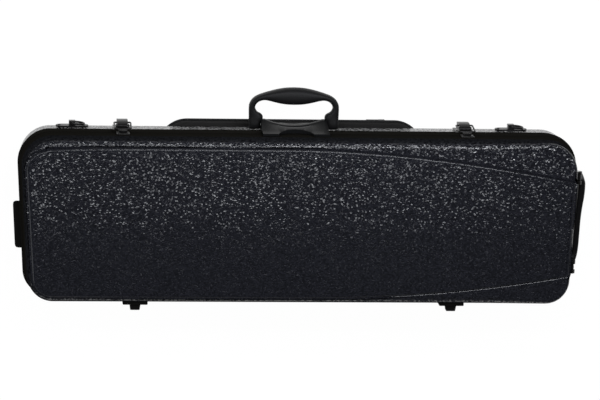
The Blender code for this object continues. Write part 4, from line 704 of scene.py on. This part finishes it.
both = np.concatenate([leg[::-1] * [-1, 1, 1, 1], leg[1:]])
flat = np.zeros(len(both))
handle_path = np.column_stack([FITTINGS_SHIFT + both[:, 0], -WIDTH / 2 - both[:, 1], flat + HANDLE_LEVEL])
along = np.gradient(both[:, :2], axis=0)
along /= np.hypot(*along.T)[:, None]

# across is the line's normal, and in the legs, whose widths were measured along X, it turns to X
in_leg = np.clip((np.abs(both[:, 0]) - 50.0) / 8.0, 0, 1) * np.clip((34.0 - both[:, 1]) / 6.0, 0, 1)
across = np.column_stack([along[:, 1], along[:, 0], flat]) * (1 - in_leg)[:, None]
across += np.column_stack([-np.sign(both[:, 0]), flat, flat]) * in_leg[:, None]
across /= np.linalg.norm(across, axis=1)[:, None]
points, faces = flat_tube(handle_path, both[:, 2], both[:, 3], across, (0, 0, 1), HANDLE_POWER, 28)
piece("carry_grip", points, faces, moulded_nylon, "carry_handle", "moulded_black", ["handle"], sharp=50)

# %% [markdown]
# ## Handle base
# The base is a wedge on the back's band. Seen from the lid it dips like a saddle between the handle's feet,
# and its upper part lies over the lid's band as two lobes with an arch between them. It is a row of closed
# sections along X: the ridge is held back by the saddle's circle, the upper end is lowered by the arch's
# circle.

# %% The base
BASE_HALF, BASE_ROWS = 47.0, 95
BASE_RIDGE, BASE_SADDLE, SADDLE_CHORD = 15.0, 6.5, 40.4
ARCH_RADIUS, ARCH_CENTRE, LOBE_TOP = 24.5, 25.5, 27.0
BASE_SHOULDER = 7.5


def base_section(x):
    """(out, level) points of the base's section at x from its middle; edges are three close points."""
    sag = BASE_RIDGE - BASE_SADDLE
    radius = (SADDLE_CHORD**2 + sag**2) / (2 * sag)
    ridge = min(BASE_RIDGE, BASE_SADDLE + radius - math.sqrt(max(radius**2 - x**2, 0)))
    top = LOBE_TOP if abs(x) >= ARCH_RADIUS else ARCH_CENTRE - math.sqrt(ARCH_RADIUS**2 - x**2)
    share = (top - BAND_LEDGE) / (LOBE_TOP - BAND_LEDGE)
    shoulder = min(ridge, BASE_SHOULDER)
    tip = min(2.0 + (1 - share) * 8.0, ridge)
    under_lobe = min(0.3, top - 0.2)
    below = [(shoulder - 0.8, -48.0), (shoulder, -47.2), (ridge - 0.5, -37.6), (ridge, -36.2), (ridge, -35.0)]
    front_face = [(ridge, -27.0), (ridge - 0.4, -25.4), (ridge - 1.3, -23.6)]
    slope = [((ridge + shoulder) / 2, -10.0 * share - 4.0), (shoulder * 0.72, 3.0 * share)]
    lobe = [(max(tip, 3.9), top - 2.4), (max(tip - 0.5, 3.8), top - 0.5), (max(tip - 1.2, 3.6), top)]
    over_lid = [(0.6, top), (0.6, under_lobe), (3.3, under_lobe), (3.3, -4.3)]
    on_back = [(1.3, -6.3), (1.3, -22.3), (0.3, -22.3), (0.3, -48.0)]
    return below + front_face + slope + lobe + over_lid + on_back


xs = np.linspace(-BASE_HALF, BASE_HALF, BASE_ROWS)
rows = np.array([[(x, *pair) for pair in base_section(x)] for x in xs])
rows = np.stack([FITTINGS_SHIFT + rows[..., 0], -WIDTH / 2 - rows[..., 1], rows[..., 2]], -1)
points, faces = closed_loft(rows)
piece("saddle_base", points, faces, base_nylon, "case_back", "moulded_black", ["handle_base"], sharp=28)

# %% [markdown]
# ## Strap on the narrow end
# The small handle on the narrow end is a moulded strap: two short arms on the brackets' pins and a long bar
# between them, which stands a little away from the case and is thickest near the handle side.

# %% The end handle
END_PIN_X, END_PIN_LEAN, END_MIDDLE = -402.0, 0.0346, 15.45
STRAP_ROWS, STRAP_POWER = 121, 3.2
# distance past the pins, along Y, level, half width and half thickness
strap_half = np.array([
    (0.0, -49.5, -28.4, 3.0, 3.0), (0.3, -49.8, -31.0, 4.8, 4.2), (0.8, -50.2, -37.0, 5.2, 4.2),
    (3.4, -49.8, -46.0, 5.6, 4.4), (7.4, -46.5, -53.4, 6.0, 4.8), (10.4, -38.0, -57.4, 6.2, 5.4),
    (10.6, -20.0, -58.0, 6.0, 5.4), (9.2, 0.0, -58.0, 5.8, 4.8), (8.4, 18.0, -58.0, 5.8, 4.6),
    (8.2, 36.0, -58.0, 5.8, 4.6), (8.0, 54.0, -58.0, 6.0, 4.6), (6.8, 68.0, -57.2, 6.0, 4.6),
    (4.4, 76.8, -53.0, 5.8, 4.4), (1.4, 80.0, -46.0, 5.4, 4.0), (0.6, 80.9, -37.0, 5.0, 3.8),
    (0.2, 80.6, -31.0, 4.6, 3.6), (0.0, 80.4, -28.4, 3.0, 2.8),
])
out, level_y, level_z, in_plane, thick = smooth(strap_half, STRAP_ROWS).T
strap_path = np.column_stack([END_PIN_X + END_PIN_LEAN * (level_y - END_MIDDLE) - out, level_y, level_z])
along = np.gradient(strap_path, axis=0)
along /= np.linalg.norm(along, axis=1)[:, None]
outward = np.array([-1.0, 0.0, 0.0])
across = np.cross(along, outward)
across /= np.linalg.norm(across, axis=1)[:, None]
points, faces = flat_tube(strap_path, in_plane, thick, across, outward, STRAP_POWER, 24)
piece("tug_strap", points, faces, moulded_nylon, "tug_handle", "moulded_black", ["end_handle"], sharp=50)

# %% [markdown]
# The broad end has one long rubber foot with a rounded face, so that the case can also stand on that end.

# %% Foot on the broad end
FOOT_LOW, FOOT_HIGH, FOOT_RADIUS = (-8.4, -48.0), (56.8, -28.0), 4.0
foot_rows = []
for out_x, inset in ((383.6, 0.0), (394.0, 0.0), (396.6, 0.6), (398.0, 2.0), (398.6, 4.2)):
    corners = rectangle(np.add(FOOT_LOW, inset), np.subtract(FOOT_HIGH, inset), FOOT_RADIUS)
    plan = rounded_plan(corners, 0, (4, 12, 4, 12))
    lean = BROAD_TAPER / WIDTH * (plan[:, 0] - (FOOT_LOW[0] + FOOT_HIGH[0]) / 2)
    foot_rows.append(np.column_stack([out_x - lean, plan]))
points, faces = closed_loft(foot_rows)
piece("broad_end_foot", points, faces, foot_rubber, "case_back", "black_rubber", ["end_foot"], sharp=50)

# %% [markdown]
# ## Music pocket
# Behind the back hangs a flat pouch of woven nylon for sheet music. Its sides bulge between the back and
# the corded edge, its face is flat where the case lies on it, and a zip runs along the side with the
# handle.

# %% The pocket's plan and bag
POCKET_HALF, POCKET_SIDE, POCKET_RADIUS = 186.0, 119.5, 38.0
POCKET_TOP, POCKET_FACE = -66.6, -84.3


def pocket_loop(grow, level):
    """The pocket's rounded plan moved out by grow, at one level."""
    low, high = (FITTINGS_SHIFT - POCKET_HALF, -POCKET_SIDE), (FITTINGS_SHIFT + POCKET_HALF, POCKET_SIDE)
    plan = rounded_plan(rectangle(low, high, POCKET_RADIUS), grow, SIDE_POINTS)
    return np.column_stack([plan, np.full(len(plan), level)])


# (grow, height) over the pocket's top, down its side, then over its face
from_top = [(-6.0, 0), (-1.2, -0.2), (0.6, -1.6), (1.4, -4), (1, -6), (1.6, -8), (1.5, -11), (0.6, -14.2)]
from_face = [(-1.4, 1.2), (-4.6, 0.3), (-9, 0), (-10, 0.7), (-11, 0), (-30, 0)]
bag = [pocket_loop(grow, POCKET_TOP + rise) for grow, rise in from_top]
bag += [pocket_loop(grow, POCKET_FACE + rise) for grow, rise in from_face]
points, faces = closed_loft(bag)
pouch = piece(
    "pocket_pouch", points, faces, black_nylon, "case_back", "black_nylon", ["music_pocket"], sharp=60
)

# %% Cord in the pocket's edge, and its zip
PIPING_LEVEL, PIPING_OUT, PIPING_RADIUS = -72.3, 2.4, 1.9
CORD_SIDES = 12
around = np.linspace(0, 2 * np.pi, CORD_SIDES, endpoint=False)
circle = np.column_stack([np.cos(around), np.sin(around)])
piping = (PIPING_OUT, PIPING_LEVEL) + PIPING_RADIUS * circle
points, faces = ring_loft([pocket_loop(grow, level) for grow, level in piping])
piece("pocket_cording", points, faces, moulded_nylon, "case_back", "black_nylon", ["pocket_piping"], sharp=60)

ZIP_START, ZIP_END, ZIP_LEVEL, TOOTH_PITCH = -129.0, 141.0, -78.0, 3.0
BOX_CORNERS = np.array([(x, y, z) for x in (-0.5, 0.5) for y in (-0.5, 0.5) for z in (-0.5, 0.5)])
BOX_FACES = np.array([(0, 1, 3, 2), (4, 6, 7, 5), (0, 4, 5, 1), (2, 3, 7, 6), (0, 2, 6, 4), (1, 5, 7, 3)])


def boxes(centres, size):
    """Points and faces of a box at each centre: centre + corner * size."""
    points = np.asarray(centres)[:, None, :] + BOX_CORNERS * size
    faces = (np.arange(len(points))[:, None, None] * 8 + BOX_FACES).reshape(-1, 4)
    return points.reshape(-1, 3), faces


# the two rows' teeth take turns, one row a little above the other
TOOTH, TOOTH_OUT, TOOTH_RISE = (1.0, 1.4, 2.4), 1.9, 0.9
TAPE_THICKNESS, TAPE_WIDTH, TAPE_OUT = 1.0, 8.6, 1.2
tooth_x = np.arange(ZIP_START + 3, ZIP_END - 2, TOOTH_PITCH / 2)
tooth_z = ZIP_LEVEL + np.where(np.arange(len(tooth_x)) % 2, TOOTH_RISE, -TOOTH_RISE)
teeth = np.column_stack([tooth_x, np.full(len(tooth_x), -POCKET_SIDE - TOOTH_OUT), tooth_z])
piece("zip_teeth", *boxes(teeth, TOOTH), moulded_nylon, "case_back", "black_nylon", sharp=40)
tape = [((ZIP_START + ZIP_END) / 2, -POCKET_SIDE - TAPE_OUT, ZIP_LEVEL)]
points, faces = boxes(tape, (ZIP_END - ZIP_START, TAPE_THICKNESS, TAPE_WIDTH))
piece("zip_tape", points, faces, black_nylon, "case_back", "black_nylon", ["pocket_zip"], sharp=40, bevel=0.3)

# %% [markdown]
# ## Lining and bed
# Inside, foam is cut to shape and covered with velvet. The covered blocks have no crisp edge anywhere, so
# each is its solid cut into small cubes and relaxed, which rounds every edge and keeps the hollows' shape.

# %% Foam under velvet


def upholstered(name, node, voxel, passes, finish, body):
    """The node's solid remade in cubes and relaxed: a pass moves points halfway to their neighbours' mean."""
    mesh = frame["nodes"][node].data.copy()
    bm = bmesh.new()
    bm.from_mesh(mesh)
    bmesh.ops.remove_doubles(bm, verts=bm.verts, dist=WELD)
    bm.to_mesh(mesh)
    bm.free()
    rough_cut = placed(name + "_cut", mesh)
    cubes = rough_cut.modifiers.new("cubes", "REMESH")
    cubes.mode, cubes.voxel_size = "VOXEL", voxel * MM
    relaxed = rough_cut.modifiers.new("relaxed", "SMOOTH")
    relaxed.factor, relaxed.iterations = 0.5, passes
    bpy.context.view_layer.update()
    shaped = bpy.data.meshes.new_from_object(rough_cut.evaluated_get(bpy.context.evaluated_depsgraph_get()))
    bpy.data.objects.remove(rough_cut)
    made = finished(name, shaped, finish, 180)
    hand_over(made, body, [node])
    return made


bed = upholstered("padded_bed", "suspension_bed", 2.8, 7, bed_velvet, "case_back")
upholstered("padded_cradle", "neck_cradle", 1.3, 6, bed_velvet, "case_back")
for side in ("front", "rear"):
    upholstered("tip_pocket_" + side, "bow_tip_holder_" + side, 1.1, 5, lid_velvet, "lid")
print("bed's faces:", len(bed.data.polygons))

# %% [markdown]
# The violin's hollow is edged with a cord in the same velvet. Its outline comes from the body's half width
# at shares of its length, made smooth with the same curve as the handle, and it stops at both sides of the
# neck's channel.

# %% Cord round the violin's hollow
BODY_END, BODY_LENGTH, BODY_HALF = 372.5, 364.0, 106.0
CORD_RADIUS, CORD_IN, CORD_LEVEL, SPAN_ROWS = 2.2, 0.6, -8.0, 20
HALF_WIDTH_SHARES = np.array([
    (0.03, 0.48), (0.07, 0.73), (0.13, 0.93), (0.21, 1.0), (0.31, 0.94), (0.4, 0.76), (0.48, 0.62),
    (0.57, 0.59), (0.66, 0.69), (0.75, 0.79), (0.83, 0.82), (0.91, 0.73), (0.965, 0.5), (0.99, 0.32),
])
outline = np.concatenate([(HALF_WIDTH_SHARES * [1, -1])[::-1], HALF_WIDTH_SHARES])
edge = smooth(outline, SPAN_ROWS * (len(outline) - 1) + 1)
rim = np.column_stack([BODY_END - BODY_LENGTH * edge[:, 0], BODY_HALF * edge[:, 1]])
cord = [
    np.column_stack([moved_out(rim, grow), np.full(len(rim), level)])
    for grow, level in (-CORD_IN, CORD_LEVEL) + CORD_RADIUS * circle
]
points, faces = closed_loft(np.stack(cord, axis=1))
piece("hollow_cord", points, faces, lid_velvet, "case_back", "velvet", sharp=60)

# %% [markdown]
# ## Cushions
# A loose cushion is a rounded block with a crown: it is highest in the middle, its sides pull in between
# the corners, and it is flat below, where it rests.

# %% Crowned cushions


def cushion(low, high, crown, pull=0.03, power=7.0, roundness=3.0, rows=24, columns=96):
    """Superellipse rings from the underside to the top: radius by sin, level by cos, plus a crown on top."""
    low, high = np.asarray(low, dtype=float), np.asarray(high, dtype=float)
    half, middle = (high - low) / 2, (high + low) / 2
    rise = np.linspace(0.02, np.pi - 0.02, rows)
    ring = np.sin(rise) ** (2 / power)
    level = -np.sign(np.cos(rise)) * np.abs(np.cos(rise)) ** (2 / roundness)
    shape = section(columns, power)
    drawn = 1 - pull * (1 - np.abs(shape[:, ::-1])) ** 2
    plan = ring[:, None, None] * (shape * drawn)[None]
    lift = np.clip(level, 0, 1)[:, None] * crown * (1 - plan[..., 0] ** 2) * (1 - plan[..., 1] ** 2)
    height = middle[2] + (half[2] - crown / 2) * level[:, None] - crown / 2 + lift
    return closed_loft(np.dstack([middle[:2] + half[:2] * plan, height]))


CUSHIONS = {
    "lower_bout_pad": ((304.5, -58.0, -57.7), (348.5, 58.0, -45.7), 2.0, "case_back", 0.7),
    "upper_bout_pad": ((32.5, -42.0, -57.7), (66.5, 42.0, -45.7), 2.0, "case_back", 0.7),
    "accessory_lid_front": ((-239.2, -99.2, -12.0), (-129.8, -49.8, -7.4), 0.6, "cover_front", 0.5),
    "accessory_lid_rear": ((-239.2, 49.8, -12.0), (-129.8, 99.2, -7.4), 0.6, "cover_rear", 0.5),
}
for node, (low, high, crown, body, fill) in CUSHIONS.items():
    points, faces = cushion(low, high, crown)
    made = piece("padded_" + node, points, faces, bed_velvet, body, "velvet", [node], sharp=60)

# %% Pull tabs and the neck strap
TAB_X, TAB_LEVEL, TAB_SIZE = -184.5, -6.7, (10.0, 14.2, 1.0)
for body, middle in (("cover_front", -92.1), ("cover_rear", 92.1)):
    points, faces = boxes([(TAB_X, middle, TAB_LEVEL)], TAB_SIZE)
    piece("pull_tab_" + body, points, faces, black_nylon, body, "velvet", sharp=40, bevel=0.4)

STRAP_X, STRAP_START, STRAP_WIDTH, STRAP_LENGTH, STRAP_LEVEL, WAVE = -52.5, 33.7, 24.0, 70.0, -6.9, 0.5
stations = np.linspace(0, 1, 60)[:, None]
wave = np.clip(WAVE * np.sin(np.pi * stations) ** 2 * np.sin(5 * np.pi * stations), 0, 1)
half = STRAP_WIDTH / 2
one_side = np.array([(-half, 0.55), (0.4 - half, 0.75), (half - 0.4, 0.75), (half, 0.55)])
edges = np.concatenate([one_side, -one_side])
strap_y = STRAP_START + STRAP_LENGTH * stations
rows = np.dstack(np.broadcast_arrays(STRAP_X + edges[:, 0], strap_y, STRAP_LEVEL + wave + edges[:, 1]))
points, faces = closed_loft(rows)
webbing = piece(
    "neck_webbing", points, faces, black_nylon, "case_back", "black_nylon", ["neck_strap"], sharp=40
)

# %% [markdown]
# ## Lining of the lid
# The lid is lined with velvet over thin foam: the walls in one piece and a soft panel in the ceiling, with
# a sunk seam where the two are sewn together.

# %% The lining
LINING_OUT = -5.3
# (distance in, height): down the lining's outer skin, then up its velvet to the ceiling's seam
skin = [(14.0, 57.2), (8.0, 56.4), (3.0, 54.0), (0, 47.0), (0, 3.0), (0.2, 2.2), (1.2, 1.0)]
velvet_face = [(2.6, 1.0), (3.8, 2.2), (4.0, 3.0), (4.2, 42.0), (6.2, 48.4), (10.2, 51.8), (14.0, 52.9)]
velvet_face += [(16.0, 54.6), (18.0, 53.0), (24.0, 51.6)]
lining_loops = [case_loop(LINING_OUT - inward, level) for inward, level in skin + velvet_face]
lining_loops += drawn_in(lining_loops[-1], (0.08, 0.2, 0.4, 0.65, 0.9), (50.9, 50.3, 49.8, 49.5, 49.4))
points, faces = closed_loft(lining_loops)
liner = piece("padded_lining", points, faces, lid_velvet, "lid", "lining", ["lid_liner"], sharp=60)

# %% [markdown]
# ## The other finishes and the small fittings

# %% Dress the rest of the frame
FINISHES = {
    "black_rubber": foot_rubber, "moulded_black": moulded_nylon, "black_metal": plated_black,
    "steel": polished_steel, "black_nylon": black_nylon, "velvet": bed_velvet, "lining": lid_velvet,
}
SOFTENED = {
    "strap_plate": 0.5, "latch_base": 0.3, "latch_lever": 0.5, "keeper": 0.3, "hinge_back": 0.3,
    "hinge_lid": 0.3, "lid_foot": 1.0, "back_foot": 1.0, "end_bracket": 0.5, "zip_slider": 0.3,
}
FOOT_PROUDER = 1.3
slots = {entry["node"]: entry["material_slot"] for entry in frame["record"]["subparts"]}
bodies = {node: body for body, nodes in frame["record"]["behaviour"]["bodies"].items() for node in nodes}
for node in sorted(set(frame["nodes"]) - replaced):
    finish = FINISHES[slots[node]]
    width = next((w for start, w in SOFTENED.items() if node.startswith(start)), 0)
    if width:
        prouder = FOOT_PROUDER if "_foot_" in node else 1.0
        softened(node, finish, bodies[node], width, prouder)
    else:
        mesh = frame["nodes"][node].data
        mesh.materials.clear()
        mesh.materials.append(finish)

# %% [markdown]
# ## Floor, light and camera
# The photograph is a catalogue cut-out on pure white. A white floor that answers a camera ray or a
# reflection with plain white gives that, and a share of plain diffuse keeps the case's shadow on it.

# %% Floor and world
FLOOR_HALF = 12.0
GLOW_SHARE, GLOW = 0.93, 1.04
ROOM_LIGHT = 0.5
# what a glossy ray meets in the room: bright near the horizon and nearly black overhead
MIRRORED_ROOM = {"From Min": 0.0, "From Max": 0.6, "To Min": 0.3, "To Max": 0.03}


def white_floor():
    """Diffuse paper and its glow, mixed: camera, glossy and transmission rays meet the glow by its share."""
    finish = bpy.data.materials.new("white_floor")
    finish.use_nodes = True
    tree = finish.node_tree
    tree.nodes.clear()
    ray = add(tree, "LightPath").outputs
    either = {0: ray["Is Camera Ray"], 1: ray["Is Glossy Ray"]}
    seen = {0: add(tree, "Math", links=either, operation="MAXIMUM"), 1: ray["Is Transmission Ray"]}
    direct = add(tree, "Math", links=seen, operation="MAXIMUM")
    share = add(tree, "Math", {1: GLOW_SHARE}, {0: direct}, operation="MULTIPLY")
    paper = add(tree, "BsdfDiffuse", {0: (0.8, 0.8, 0.8, 1.0)})
    glow = add(tree, "Emission", {0: (1.0, 1.0, 1.0, 1.0), 1: GLOW})
    mixed = add(tree, "MixShader", links={0: share, 1: paper, 2: glow})
    add(tree, "OutputMaterial", links={0: mixed})
    return finish


floor_mesh = bpy.data.meshes.new("floor")
corners = [(x * FLOOR_HALF, y * FLOOR_HALF, 0) for x, y in ((-1, -1), (1, -1), (1, 1), (-1, 1))]
floor_mesh.from_pydata(corners, [], [(0, 1, 2, 3)])
floor_mesh.materials.append(white_floor())
floor = placed("floor", floor_mesh)

room = bpy.data.worlds.new("white_room")
bpy.context.scene.world = room
room.use_nodes = True
tree = room.node_tree
tree.nodes.clear()
ray = add(tree, "LightPath").outputs
way = add(tree, "SeparateXYZ", links={0: add(tree, "TexCoord").outputs["Generated"]}).outputs
climb = add(tree, "MapRange", MIRRORED_ROOM, {0: way[2]})
plain = add(tree, "Background", {0: (1, 1, 1, 1), 1: ROOM_LIGHT})
mirrored = add(tree, "Background", {0: (1, 1, 1, 1)}, {1: climb})
seen = add(tree, "Background", {0: (1, 1, 1, 1), 1: 1.0})
lit = add(tree, "MixShader", links={0: ray["Is Glossy Ray"], 1: plain, 2: mirrored})
shown = add(tree, "MixShader", links={0: ray["Is Camera Ray"], 1: lit, 2: seen})
add(tree, "OutputWorld", links={0: shown})

# %% [markdown]
# Three soft boxes stand in for the studio's: a narrow one over the handle side, which the embossing's
# dashes catch on the half of the lid next to it, one further out, which the lid's rounded edge catches, and
# one over the broad end.

# %% Soft boxes


def soft_box(name, place, target, size, power):
    """A rectangular area lamp, in metres and watts, at a place and turned to face its target."""
    lamp = bpy.data.lights.new(name, "AREA")
    lamp.color = (0.93, 0.95, 1.0)
    lamp.shape, lamp.size, lamp.size_y, lamp.energy = "RECTANGLE", *size, power
    stand = placed(name, lamp)
    stand.location = place
    stand.rotation_euler = (Vector(target) - Vector(place)).to_track_quat("-Z", "Y").to_euler()
    stand.visible_camera = False


soft_box("handle_side_box", (0.2, -0.185, 0.75), (0.2, -0.185, 0), (1.35, 0.04), 1.5)
soft_box("edge_box", (-0.11, -0.42, 0.75), (0, -0.118, 0.12), (0.8, 0.05), 3)
soft_box("broad_end_box", (1.6, 0.4, 1.2), (0, 0, 0.1), (0.8, 1.2), 4)

# %% [markdown]
# The photograph was taken from far off with a long lens. Straight lines on the case give the camera's lean:
# 11 degrees from the lid's normal towards the handle and 5.3 degrees towards the broad end, with the
# image's top towards -Y.

# %% Camera
CAMERA_DISTANCE = 4.5
PIXELS_PER_MM = 0.709
IMAGE_WIDTH = 600
LEAN_TO_HANDLE, LEAN_TO_BROAD, ROLL = 11.0, 5.3, 1.4
IMAGE_CENTRE = (-3.1, -20.6, 0.0)

to_broad, to_handle = math.tan(math.radians(LEAN_TO_BROAD)), math.tan(math.radians(LEAN_TO_HANDLE))
back = Vector((to_broad, -to_handle, 1)).normalized()
right = Vector((0, -1, 0)).cross(back).normalized()
turned = Matrix((right, back.cross(right), back)).transposed().to_4x4()
rolled = turned @ Matrix.Rotation(math.radians(ROLL), 4, "Z")
camera = bpy.data.cameras.new("camera")
camera.sensor_width = 36.0
camera.lens = PIXELS_PER_MM / MM * CAMERA_DISTANCE * camera.sensor_width / IMAGE_WIDTH
viewer = placed("camera", camera)
viewer.matrix_world = Matrix.Translation(Vector(world(IMAGE_CENTRE)) + back * CAMERA_DISTANCE) @ rolled
bpy.context.scene.camera = viewer
bpy.context.scene.view_settings.view_transform = "Standard"
print("lens:", round(camera.lens, 1), "mm")
